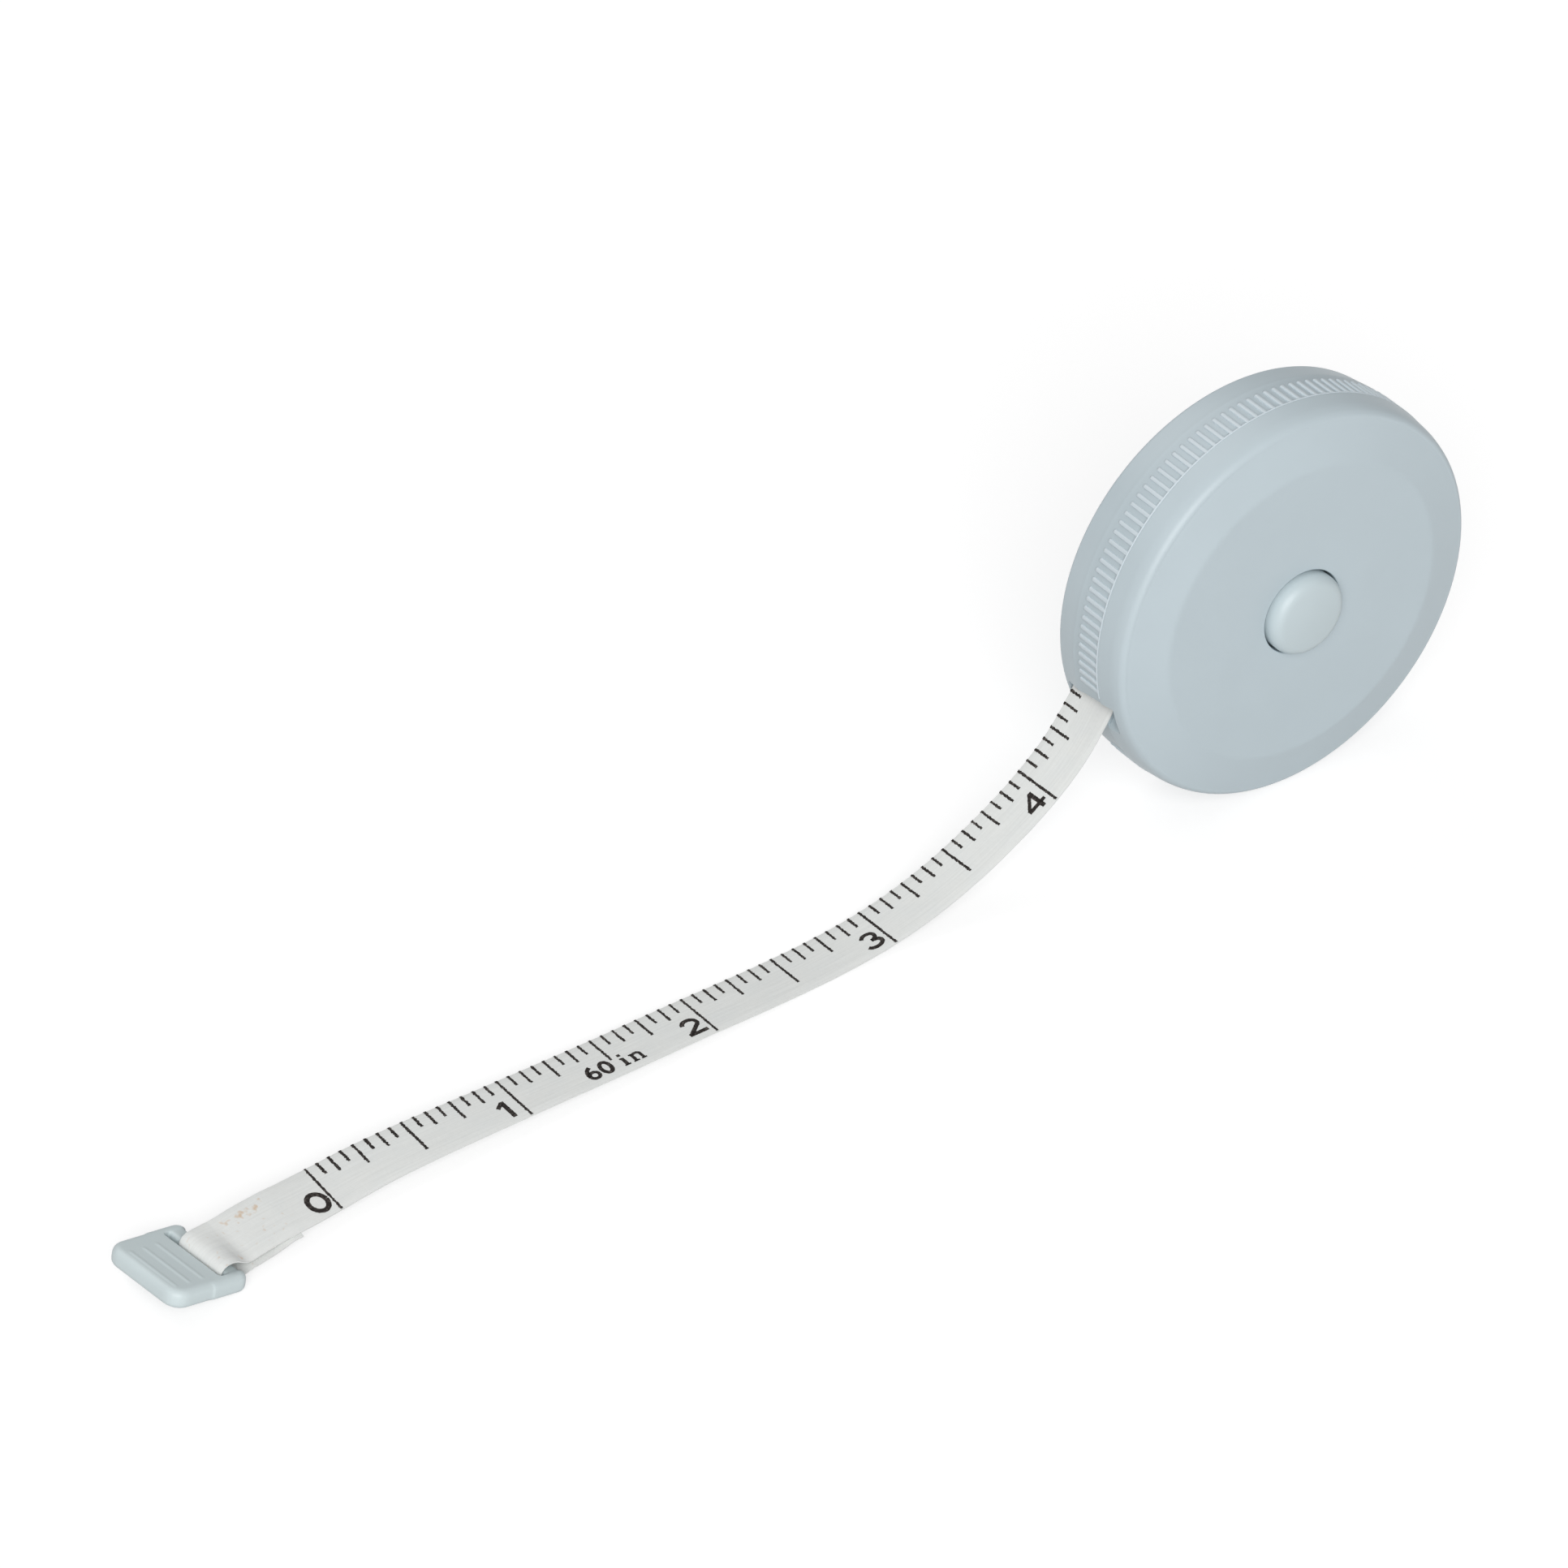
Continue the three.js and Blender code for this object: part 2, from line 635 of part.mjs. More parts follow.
function pullTab() {
  const slotHalf = (TAPE_W + TAB_PLAY) / 2;
  const half = slotHalf + TAB_RAIL;
  const slotX = -(foldR + TAPE_T / 2 + TAB_SLOT_GAP);
  const endX = slotX - TAB_GRIP;
  const outline = roundedPlate(
    endX + TAB_ROUND, noseX - TAB_ROUND, -half + TAB_ROUND, half - TAB_ROUND, TAB_CORNER - TAB_ROUND);
  const plate = new THREE.ExtrudeGeometry(outline, {
    depth: TAB_T - 2 * TAB_ROUND, bevelThickness: TAB_ROUND, bevelSize: TAB_ROUND, bevelSegments: 3,
  });
  plate.translate(0, 0, TAB_ROUND - BAR_RISE);
  const window = new THREE.BoxGeometry(2 * noseX - slotX, 2 * slotHalf, 2 * TAB_T);
  window.translate(slotX + (2 * noseX - slotX) / 2, 0, 0);
  const bar = new THREE.CylinderGeometry(BAR_R, BAR_R, 2 * slotHalf + TAB_RAIL, TURN_STEPS);
  let tab = solid(plate).subtract(solid(window)).add(solid(bar));
  for (let i = 0; i < RIDGE_COUNT; i += 1) {
    const ridge = new THREE.CylinderGeometry(RIDGE_R, RIDGE_R, RIDGE_L, TURN_STEPS);
    const offset = RIDGE_PITCH * (i - (RIDGE_COUNT - 1) / 2);
    ridge.translate(offset - RIDGE_BACK, RIDGE_OFFSET, TAB_T - BAR_RISE + RIDGE_RISE - RIDGE_R);
    tab = tab.add(solid(ridge));
  }
  return shaped(tab).rotateY(RAD * TAB_PITCH).translate(0, TAB_OFFSET, barZ);
}

// Free tape from the slot to the fold
function freeTape() {
  const [joinX, joinY, joinZ] = FOLD_ROUTE[0];
  const pastFold = (reach) => new THREE.Vector3(joinX, joinY, barZ + joinZ)
    .addScaledVector(new THREE.Vector3(...JOIN_LEAN), reach).applyMatrix4(endGroup.matrixWorld);
  const twist = ({ x }) => rolled(TWIST * (Math.max(0, TWIST_START - x) / TWIST_SPAN) ** 2);
  const inCase = (along) => leadPoint(along).add(caseGroup.position);
  const curve = new THREE.CatmullRomCurve3([
    inCase(leadEnd + FIT),
    inCase(leadReach(caseR) + FIT),
    ...TAPE_ROUTE.map(([x, y, z]) => new THREE.Vector3(x, tapePlane + y, z)),
    pastFold(1),
    pastFold(FIT),
  ]);
  const points = curve.getSpacedPoints(TAPE_STEPS);
  console.log('free tape, length', curve.getLength());
  return strip(points, TAPE_W, TAPE_T, twist);
}

add(tapeMeasure, 'tape_free', freeTape(), cloth);
add(endGroup, 'tape_end_loop', tapeEndLoop(), cloth);
add(endGroup, 'pull_tab', pullTab(), { ...plastic, color: '#b4bebf' });

export default tapeMeasure;
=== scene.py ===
import json
import math
import random

import bmesh
import bpy
from mathutils import Matrix, Vector


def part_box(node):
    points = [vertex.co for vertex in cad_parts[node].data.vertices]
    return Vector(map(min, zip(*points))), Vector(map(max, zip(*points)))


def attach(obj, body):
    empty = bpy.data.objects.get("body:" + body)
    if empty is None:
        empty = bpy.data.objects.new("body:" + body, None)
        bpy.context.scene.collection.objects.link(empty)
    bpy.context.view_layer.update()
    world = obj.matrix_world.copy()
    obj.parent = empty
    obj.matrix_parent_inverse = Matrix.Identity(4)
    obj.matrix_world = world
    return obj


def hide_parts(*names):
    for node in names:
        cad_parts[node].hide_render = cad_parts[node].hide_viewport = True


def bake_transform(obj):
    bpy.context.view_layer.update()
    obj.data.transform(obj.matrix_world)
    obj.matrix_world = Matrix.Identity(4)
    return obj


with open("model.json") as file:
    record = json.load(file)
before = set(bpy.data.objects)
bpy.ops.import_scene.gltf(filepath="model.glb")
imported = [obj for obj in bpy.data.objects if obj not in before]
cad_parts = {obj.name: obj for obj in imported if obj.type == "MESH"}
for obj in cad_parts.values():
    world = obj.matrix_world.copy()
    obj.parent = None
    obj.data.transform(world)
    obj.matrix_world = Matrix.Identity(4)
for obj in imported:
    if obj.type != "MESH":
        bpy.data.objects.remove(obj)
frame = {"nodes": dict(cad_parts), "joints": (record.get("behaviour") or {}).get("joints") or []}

bl_info = {
    "name": "Retractable Cloth Tape Measure",
    "version": (1, 0, 0),
    "blender": (4, 5, 0),
    "location": "View3D > Sidebar > Tape Measure",
    "description": "Case, release button, printed cloth tape and pull tab of a pocket tape measure",
    "category": "Object",
}

MM = 0.001
INCH = 25.4 * MM
UP = Vector((0, 0, 1))
TO_BACK = Vector((0, 1, 0))
# Points closer than this are one
MERGE = 0.0001 * MM
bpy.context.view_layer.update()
JOINTS = {joint["name"]: joint for joint in frame["joints"]}

# Where the case's axis meets the middle plane of the tape, and the middle of the tab's bar
AXIS = Vector(JOINTS["reel_spin"]["pos_m"])
BAR = Vector(JOINTS["tab_swing"]["pos_m"])
BAR_SIDE = Vector(JOINTS["tab_swing"]["axis"])
BAR_ALONG = BAR_SIDE.cross(UP)

# Distances of the faces from the tape's middle plane
FRONT_FACE = AXIS.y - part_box("front_shell")[0].y
BACK_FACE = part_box("back_shell")[1].y - AXIS.y
BUTTON_TOP = AXIS.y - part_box("button")[0].y

# The tape's straight run from the roll through the slot, in the case's x and z
LEAD_ANGLE = math.radians(148)
LEAD_OUT = Vector((math.cos(LEAD_ANGLE), 0, math.sin(LEAD_ANGLE)))
LEAD_ALONG = Vector((-math.sin(LEAD_ANGLE), 0, math.cos(LEAD_ANGLE)))
LEAD_RADIUS = 16.7 * MM
LEAD_START = AXIS + LEAD_OUT * LEAD_RADIUS

# The free tape from the slot to the sealed fold, in millimetres, across from the tape's plane
TAPE_ROUTE = [
    (-23.455, 0, 19.148), (-24.322, 0, 17.761), (-27.7, -0.21, 13.6), (-32.6, -0.45, 9.6),
    (-38.1, -0.7, 6.4), (-43.9, -0.97, 3.8), (-49.9, -1.25, 1.9), (-56.2, -1.53, 0.75),
    (-62.5, -1.8, 0.3), (-68.8, -2.07, 0.3), (-75.1, -2.32, 0.5), (-81.5, -2.56, 0.8),
    (-94.2, -2.99, 1.15), (-106.9, -3.33, 1.6), (-119.5, -3.58, 1.9), (-126.1, -3.84, 1.92),
    (-131.38, -4.4, 1.95),
]

# The folded end and its sealed tail: millimetres along, across and above the bar, roll in degrees
FOLD_ROUTE = [
    (11, 0.26, 0.722, 11.1), (9.8, 0.24, 0.822, 11.3), (7.6, 0.19, 0.922, 11.6),
    (5.6, 0.11, 0.992, 12), (4.2, 0.04, 1.002, 12), (3.3, 0.01, 0.992, 12),
    (2.6, 0, 1.072, 11), (1.9, 0, 1.292, 8),
    (1.2, 0, 1.522, 4), (0.5, 0, 1.652, 2), (-0.15, 0, 1.652, 1.5), (-0.7, 0, 1.472, 1),
    (-1.1, 0, 1.092, 0.5), (-1.27, 0, 0.572, 0), (-1.25, 0, 0, 0), (-1.08, 0, -0.628, 0),
    (-0.63, 0, -1.078, 0), (0, 0, -1.25, 0), (0.8, 0, -1.178, 0), (1.6, 0, -0.878, 1),
    (2.4, -0.05, -0.578, 3), (3.2, -0.1, -0.25, 6), (4, -0.13, -0.08, 9), (5, -0.14, 0.03, 10),
    (6, -0.14, 0.14, 11.5), (7.6, -0.12, 0.32, 11.8), (9, -0.11, 0.48, 11.6),
    (10.2, -0.11, 0.41, 11.4),
]

# Where the tape's zero mark is, along x
ZERO_MARK_X = -131.017 * MM

# Roughness of the case's plastic
SATIN = 0.42


def linear(hex_colour):
    """Linear colour of an sRGB hex value."""
    shares = [int(hex_colour[i:i + 2], 16) / 255 for i in (1, 3, 5)]
    return tuple(s / 12.92 if s <= 0.04045 else ((s + 0.055) / 1.055) ** 2.4 for s in shares)


def colour_prop(name, description, hex_colour):
    return bpy.props.FloatVectorProperty(
        name=name, description=description, default=linear(hex_colour), size=3,
        subtype="COLOR", min=0, max=1)


def number_prop(name, description, default, unit="NONE", precision=2):
    return bpy.props.FloatProperty(
        name=name, description=description, default=default, min=0, unit=unit,
        precision=precision)


def length_prop(name, description, millimetres):
    return number_prop(name, description, millimetres * MM, "LENGTH", 5)


class CaseSettings(bpy.types.PropertyGroup):
    face_radius: length_prop("Face radius", "Radius of the face inside the sloping ring", 19.15)
    face_lift: length_prop("Face lift", "Height of the face above the plain front half's", 0.25)
    bead_radius: length_prop("Bead radius", "Rounding of the top of the rim's bead", 0.75)
    crease_radius: length_prop("Crease radius", "Rounding where the flat face meets the slope", 3.0)
    crown: length_prop("Crown", "Radius of the rim at the ribs, where it bulges most", 25.45)
    waist_depth: length_prop("Waist depth", "Depth of the floor between the ribs", 0.2)
    rib_width: length_prop("Rib width", "Width of one rib at its foot", 0.54)
    rib_count: bpy.props.IntProperty(
        name="Ribs", description="Ribs round the waist", default=130, min=12)
    colour: colour_prop("Plastic", "Colour of the moulded case", "#c3d0d6")
    # Painted highlight: the ribs are paler than the case to stand in for the light that they catch
    rib_colour_with_painted_highlight: colour_prop("Ribs", "Colour of the ribs, paler as a painted highlight", "#d3dee4")


class ButtonSettings(bpy.types.PropertyGroup):
    radius: length_prop("Radius", "Radius of the button in its hole", 5.15)
    shoulder: length_prop("Shoulder", "Rounding of the button's edge", 1.5)
    lift: length_prop("Lift", "Height of the top above the plain button's", 0.55)
    crown: length_prop("Crown", "Rise of the domed top", 0.3)
    colour: colour_prop("Plastic", "Colour of the moulded button", "#c9d6da")


class TapeSettings(bpy.types.PropertyGroup):
    width: length_prop("Width", "Width of the woven tape", 7.13)
    thickness: length_prop("Thickness", "Thickness of the coated cloth", 0.3)
    thread: length_prop("Thread spacing", "Spacing of the lengthwise threads", 0.24)
    mark_width: length_prop("Mark width", "Width of a printed graduation", 0.32)
    number_height: length_prop("Number height", "Height of the printed inch numbers", 3.0)
    colour: colour_prop("Cloth", "Colour of the coated cloth", "#eaebe8")
    ink: colour_prop("Ink", "Colour of the printed graduations", "#2b2725")


class TabSettings(bpy.types.PropertyGroup):
    grip: length_prop("Grip", "Length of the plate behind the slot", 6.975)
    edge: length_prop("Edge", "Rounding of the plate's top edge", 0.85)
    corner: length_prop("Corner", "Rounding of the plate's corners", 2.0)
    ridge_pitch: length_prop("Ridge spacing", "Distance between the grip's ridges", 1.84)
    colour: colour_prop("Plastic", "Colour of the moulded tab", "#d1dddf")


class StageSettings(bpy.types.PropertyGroup):
    floor_size: number_prop("Floor", "Radius of the pale floor", 6, "LENGTH")
    floor_colour: colour_prop("Floor colour", "Colour of the floor's paper", "#bdbdbd")
    floor_glow: number_prop("Floor glow", "Light added to the floor where it is seen", 0.62)
    sky: number_prop("Sky", "Strength of the even light from all round", 0.3)
    key: number_prop("Key", "Power of the soft lamp in front", 45, "POWER")
    fill: number_prop("Fill", "Power of the soft lamp behind", 13, "POWER")


class TapeMeasureSettings(bpy.types.PropertyGroup):
    case: bpy.props.PointerProperty(type=CaseSettings)
    button: bpy.props.PointerProperty(type=ButtonSettings)
    tape: bpy.props.PointerProperty(type=TapeSettings)
    tab: bpy.props.PointerProperty(type=TabSettings)
    stage: bpy.props.PointerProperty(type=StageSettings)


def add_node(tree, kind, inputs=None, **settings):
    """Adds a node; an input is a value, a socket, or a node whose first live output it takes."""
    node = tree.nodes.new(kind)
    for name, value in settings.items():
        setattr(node, name, value)
    for name, value in (inputs or {}).items():
        if isinstance(value, bpy.types.Node):
            value = next(socket for socket in value.outputs if socket.enabled)
        if isinstance(value, bpy.types.NodeSocket):
            tree.links.new(value, node.inputs[name])
        else:
            node.inputs[name].default_value = value
    return node


def finish_named(name, make, *values):
    """The material of that name, made the first time that it is asked for."""
    material = bpy.data.materials.get(name)
    if not material:
        material = bpy.data.materials.new(name)
        material.use_nodes = True
        tree = material.node_tree
        tree.nodes.clear()
        add_node(tree, "ShaderNodeOutputMaterial", {"Surface": make(tree, *values)})
    return material


def rgba(colour, share=1.0):
    return (*(min(1, part * share) for part in colour), 1)


def moulded_plastic(tree, colour, roughness, dust_and_painted_shade=None):
    """Injection-moulded styrene with a fine spark-eroded skin: satin, with a soft wide highlight,
    a faint grain and slightly cloudy colour from the melt's flow. Painted shade darkens it a little
    from one place along Y to a second, and fades out to a third."""
    place = add_node(tree, "ShaderNodeTexCoord").outputs["Object"]
    # Clouds of the melt, about 9 mm across
    cloud = add_node(tree, "ShaderNodeTexNoise", {
        "Vector": place, "Scale": 1 / (9 * MM), "Detail": 2.0})
    tint = add_node(tree, "ShaderNodeMix", {
        "Factor": cloud, "A": rgba(colour, 0.965), "B": rgba(colour, 1.035)}, data_type="RGBA")
    # Painted shade: a dark blue-grey mixed in by up to 0.08 between two places along Y, fading out
    # to a third
    if dust_and_painted_shade:
        start, full, end = dust_and_painted_shade
        spot = add_node(tree, "ShaderNodeSeparateXYZ", {"Vector": place}).outputs["Y"]
        begun = add_node(tree, "ShaderNodeMath", {0: spot, 1: start}, operation="GREATER_THAN")
        fade = add_node(tree, "ShaderNodeMapRange", {
            "Value": spot, "From Min": full, "From Max": end, "To Min": 0.08, "To Max": 0.0},
            interpolation_type="SMOOTHSTEP")
        share = add_node(tree, "ShaderNodeMath", {0: begun, 1: fade}, operation="MULTIPLY")
        tint = add_node(tree, "ShaderNodeMix", {
            "Factor": share, "A": tint, "B": rgba(linear("#2f3a3e"))}, data_type="RGBA")
    # Spark-eroded grain is near 0.08 mm and is drawn at 0.22 mm so that it shows
    grain = add_node(tree, "ShaderNodeTexNoise", {
        "Vector": place, "Scale": 1 / (0.22 * MM), "Detail": 1.0})
    bump = add_node(tree, "ShaderNodeBump", {
        "Height": grain, "Strength": 0.10, "Distance": 0.02 * MM})
    sheen = add_node(tree, "ShaderNodeMapRange", {
        "Value": cloud, "To Min": roughness - 0.04, "To Max": roughness + 0.04})
    return add_node(tree, "ShaderNodeBsdfPrincipled", {
        "Base Color": tint, "Roughness": sheen, "Normal": bump, "IOR": 1.5})


def coated_cloth(tree, colour, thread, scorch=None):
    """Woven cotton tape with a thin white coating: matt, with threads along the tape showing as
    fine lines, faint picks across and a slightly uneven coating, and tan specks where heat
    sealed it."""
    place = add_node(tree, "ShaderNodeUVMap", uv_map="cloth")
    # Threads along the tape, uneven along their length
    threads = add_node(tree, "ShaderNodeMapping", {
        "Vector": place, "Scale": (1 / (7 * MM), 1 / thread, 1)})
    yarn = add_node(tree, "ShaderNodeTexNoise", {"Vector": threads, "Scale": 1.0, "Detail": 1.0})
    # Picks across the tape, a little wider apart than the threads
    picks = add_node(tree, "ShaderNodeMapping", {
        "Vector": place, "Scale": (1 / (1.3 * thread), 1 / (0.7 * MM), 1)})
    weft = add_node(tree, "ShaderNodeTexNoise", {"Vector": picks, "Scale": 1.0, "Detail": 1.0})
    weave = add_node(tree, "ShaderNodeMix", {
        "Factor": 0.3, "A": yarn, "B": weft}, data_type="FLOAT")
    # Coating in patches of about 3 mm, some a little bluer
    patch = add_node(tree, "ShaderNodeTexNoise", {
        "Vector": place, "Scale": 1 / (3 * MM), "Detail": 2.0})
    blue = (0.95 * colour[0], 0.97 * colour[1], 0.99 * colour[2])
    base = add_node(tree, "ShaderNodeMix", {
        "Factor": patch, "A": rgba(colour), "B": rgba(blue)}, data_type="RGBA")
    line = add_node(tree, "ShaderNodeMapRange", {
        "Value": weave, "From Min": 0.3, "From Max": 0.7, "To Min": 0.95, "To Max": 1.03})
    tint = add_node(tree, "ShaderNodeVectorMath", {0: base, "Scale": line}, operation="SCALE")
    if scorch:
        # Specks of about 0.4 mm in a patch 9 mm long and 2 mm wide
        long, wide = 4.5 * MM, 1.0 * MM
        spot = add_node(tree, "ShaderNodeMapping", {
            "Vector": place, "Scale": (1 / long, 1 / wide, 1),
            "Location": (-scorch[0] / long, -scorch[1] / wide, 0)})
        away = add_node(tree, "ShaderNodeVectorMath", {0: spot}, operation="LENGTH")
        fade = add_node(tree, "ShaderNodeMapRange", {"Value": away, "To Max": 0.3})
        speck = add_node(tree, "ShaderNodeTexNoise", {
            "Vector": place, "Scale": 1 / (0.8 * MM), "Detail": 1.0})
        depth = add_node(tree, "ShaderNodeMath", {0: speck, 1: fade}, operation="SUBTRACT")
        burn = add_node(tree, "ShaderNodeMapRange", {
            "Value": depth, "From Min": 0.36, "From Max": 0.56, "To Max": 0.5})
        tint = add_node(tree, "ShaderNodeMix", {
            "Factor": burn, "A": tint, "B": rgba(linear("#c9923c"))}, data_type="RGBA")
    bump = add_node(tree, "ShaderNodeBump", {
        "Height": weave, "Strength": 0.35, "Distance": 0.05 * MM})
    return add_node(tree, "ShaderNodeBsdfPrincipled", {
        "Base Color": tint, "Roughness": 0.75, "IOR": 1.45,
        "Sheen Weight": 0.1, "Sheen Roughness": 0.5, "Normal": bump})


def printing_ink(tree, colour):
    """Dull black printing ink soaked into the weave: near black, a little brown, with the
    threads showing through as paler flecks."""
    place = add_node(tree, "ShaderNodeTexCoord").outputs["Object"]
    # Flecks of about 0.35 mm
    fleck = add_node(tree, "ShaderNodeTexNoise", {
        "Vector": place, "Scale": 1 / (0.35 * MM), "Detail": 2.0})
    share = add_node(tree, "ShaderNodeMapRange", {
        "Value": fleck, "From Min": 0.5, "From Max": 0.8})
    tint = add_node(tree, "ShaderNodeMix", {
        "Factor": share, "A": rgba(colour), "B": rgba(linear("#6b6561"))}, data_type="RGBA")
    return add_node(tree, "ShaderNodeBsdfPrincipled", {
        "Base Color": tint, "Roughness": 0.8, "IOR": 1.45, "Specular IOR Level": 0.25})


def brake_rubber(tree):
    """Moulded black rubber: dark and dull, with a dusty, slightly uneven surface."""
    place = add_node(tree, "ShaderNodeTexCoord").outputs["Object"]
    # Dust in grains of about 0.6 mm
    dust_and_painted_shade = add_node(tree, "ShaderNodeTexNoise", {
        "Vector": place, "Scale": 1 / (0.6 * MM), "Detail": 3.0})
    tint = add_node(tree, "ShaderNodeMix", {
        "Factor": dust_and_painted_shade, "A": rgba(linear("#2a2a2a")), "B": rgba(linear("#3d3c3b"))},
        data_type="RGBA")
    bump = add_node(tree, "ShaderNodeBump", {
        "Height": dust_and_painted_shade, "Strength": 0.3, "Distance": 0.05 * MM})
    return add_node(tree, "ShaderNodeBsdfPrincipled", {
        "Base Color": tint, "Roughness": 0.85, "IOR": 1.52, "Normal": bump})


def spring_steel(tree):
    """Cold-rolled spring steel: bright grey metal with fine streaks from the rolls."""
    place = add_node(tree, "ShaderNodeTexCoord").outputs["Object"]
    # Streaks about 4 mm long and 0.15 mm wide
    rolled = add_node(tree, "ShaderNodeMapping", {
        "Vector": place, "Scale": (1 / (4 * MM), 1 / (0.15 * MM), 1 / (4 * MM))})
    streak = add_node(tree, "ShaderNodeTexNoise", {"Vector": rolled, "Scale": 1.0, "Detail": 2.0})
    tint = add_node(tree, "ShaderNodeMix", {
        "Factor": streak, "A": rgba(linear("#8e8f92")), "B": rgba(linear("#a9abae"))},
        data_type="RGBA")
    rough = add_node(tree, "ShaderNodeMapRange", {"Value": streak, "To Min": 0.22, "To Max": 0.4})
    return add_node(tree, "ShaderNodeBsdfPrincipled", {
        "Base Color": tint, "Roughness": rough, "Metallic": 1.0})


def studio_floor(tree, colour, strength):
    """Matt paper sweep: dull enough to throw little light up under the object and to keep its
    soft shadow, with a glow that makes it white to the eye and in reflections."""
    ray = add_node(tree, "ShaderNodeLightPath").outputs
    seen = add_node(tree, "ShaderNodeMath", {
        0: ray["Is Camera Ray"], 1: ray["Is Glossy Ray"]}, operation="MAXIMUM")
    seen = add_node(tree, "ShaderNodeMath", {
        0: seen, 1: ray["Is Transmission Ray"]}, operation="MAXIMUM")
    lift = add_node(tree, "ShaderNodeMath", {0: seen, 1: strength}, operation="MULTIPLY")
    glow = add_node(tree, "ShaderNodeEmission", {"Color": (1, 1, 1, 1), "Strength": lift})
    paper = add_node(tree, "ShaderNodeBsdfDiffuse", {"Color": rgba(colour), "Roughness": 0.3})
    return add_node(tree, "ShaderNodeAddShader", {0: paper, 1: glow})


def cloth_finish(settings):
    return finish_named(
        "Coated woven cloth", coated_cloth, tuple(settings.tape.colour), settings.tape.thread)


def soften(mesh, sharp):
    """Smooth shading, apart from edges sharper than the angle given in degrees."""
    mesh.polygons.foreach_set("use_smooth", [True] * len(mesh.polygons))
    mesh.set_sharp_from_angle(angle=math.radians(sharp))


def new_piece(name, form, *finishes, sharp=35):
    """Object from a bmesh."""
    mesh = bpy.data.meshes.new(name)
    bmesh.ops.recalc_face_normals(form, faces=form.faces)
    form.to_mesh(mesh)
    form.free()
    for finish in finishes:
        mesh.materials.append(finish)
    soften(mesh, sharp)
    piece = bpy.data.objects.new(name, mesh)
    bpy.context.scene.collection.objects.link(piece)
    return piece


def apply_modifiers(piece, sharp):
    bpy.context.view_layer.update()
    result = bpy.data.meshes.new_from_object(
        piece.evaluated_get(bpy.context.evaluated_depsgraph_get()))
    piece.modifiers.clear()
    plain = piece.data
    piece.data = result
    result.name = plain.name
    bpy.data.meshes.remove(plain)
    soften(result, sharp)


def combine(piece, cutter, operation, sharp):
    """Cuts the cutter from the piece or joins it on, and removes the cutter."""
    modifier = piece.modifiers.new("combine", "BOOLEAN")
    modifier.operation = operation
    modifier.solver = "EXACT"
    modifier.object = cutter
    apply_modifiers(piece, sharp)
    bpy.data.objects.remove(cutter)


def in_metres(*corners):
    """Corners in metres, from millimetres."""
    return [tuple(size * MM for size in corner) for corner in corners]


def arc(x, y, radius, start, end, steps):
    """Points of an arc, from one angle to another in degrees."""
    turns = [math.radians(start + (end - start) * i / steps) for i in range(steps + 1)]
    return [Vector((x + radius * math.cos(t), y + radius * math.sin(t))) for t in turns]


def rounded(corners, closed=False, steps=5):
    """Outline through corners of (x, y, radius), with an arc in place of each rounded one."""
    outline = []
    count = len(corners)
    for i, (x, y, radius) in enumerate(corners):
        here = Vector((x, y))
        if radius == 0 or (not closed and i in (0, count - 1)):
            outline.append(here)
            continue
        before = (Vector(corners[i - 1][:2]) - here).normalized()
        after = (Vector(corners[(i + 1) % count][:2]) - here).normalized()
        half = before.angle(after) / 2
        centre = here + (before + after).normalized() * (radius / math.sin(half))
        reach = radius / math.tan(half)
        first = here + before * reach - centre
        last = here + after * reach - centre
        turn = math.atan2(first.x * last.y - first.y * last.x, first.dot(last))
        for k in range(steps + 1):
            angle = turn * k / steps
            outline.append(centre + Vector((
                first.x * math.cos(angle) - first.y * math.sin(angle),
                first.x * math.sin(angle) + first.y * math.cos(angle))))
    return outline


def revolve(outline, segments, towards):
    """Turns an outline of (radius, distance) round the case's axis; towards is -1 for distances
    to the front and 1 to the back. A closed outline repeats its first point. What would reach
    below the table is flat."""
    form = bmesh.new()
    turns = [2 * math.pi * i / segments for i in range(segments)]
    rings = []
    for radius, distance in outline:
        y = AXIS.y + towards * distance
        if radius < MERGE:
            rings.append([form.verts.new((AXIS.x, y, AXIS.z))] * segments)
        else:
            rings.append([form.verts.new((
                AXIS.x + radius * math.cos(turn), y, max(0, AXIS.z + radius * math.sin(turn))))
                for turn in turns])
    for low, high in zip(rings, rings[1:]):
        for i in range(segments):
            k = (i + 1) % segments
            corners = list(dict.fromkeys((low[i], low[k], high[k], high[i])))
            if len(corners) > 2:
                form.faces.new(corners)
    bmesh.ops.remove_doubles(form, verts=form.verts, dist=MERGE)
    return form


def skin(form, rows, around=True):
    """Joins rows of as many points each, closed round or left open, and closes both ends."""
    loops = [[form.verts.new(point) for point in row] for row in rows]
    count = len(loops[0])
    for low, high in zip(loops, loops[1:]):
        for i in range(count if around else count - 1):
            k = (i + 1) % count
            form.faces.new((low[i], low[k], high[k], high[i]))
    form.faces.new(loops[0])
    form.faces.new(loops[-1])
    return form


def through_points(points, spacing):
    """Evenly spaced points on a smooth line through the points given."""
    steps = 24
    ends = [2 * points[0] - points[1], *points, 2 * points[-1] - points[-2]]
    line = []
    for a, b, c, d in zip(ends, ends[1:], ends[2:], ends[3:]):
        knots = [0.0]
        for p, q in ((a, b), (b, c), (c, d)):
            knots.append(knots[-1] + math.sqrt((q - p).length))
        for i in range(steps):
            t = knots[1] + (knots[2] - knots[1]) * i / steps
            level = [a, b, c, d]
            for span in (1, 2):
                spread = []
                for k in range(len(level) - 1):
                    share = (t - knots[k]) / (knots[k + span] - knots[k])
                    spread.append(level[k].lerp(level[k + 1], share))
                level = spread
            line.append(level[0].lerp(level[1], (t - knots[1]) / (knots[2] - knots[1])))
    line.append(points[-1])
    return respaced(line, spacing)


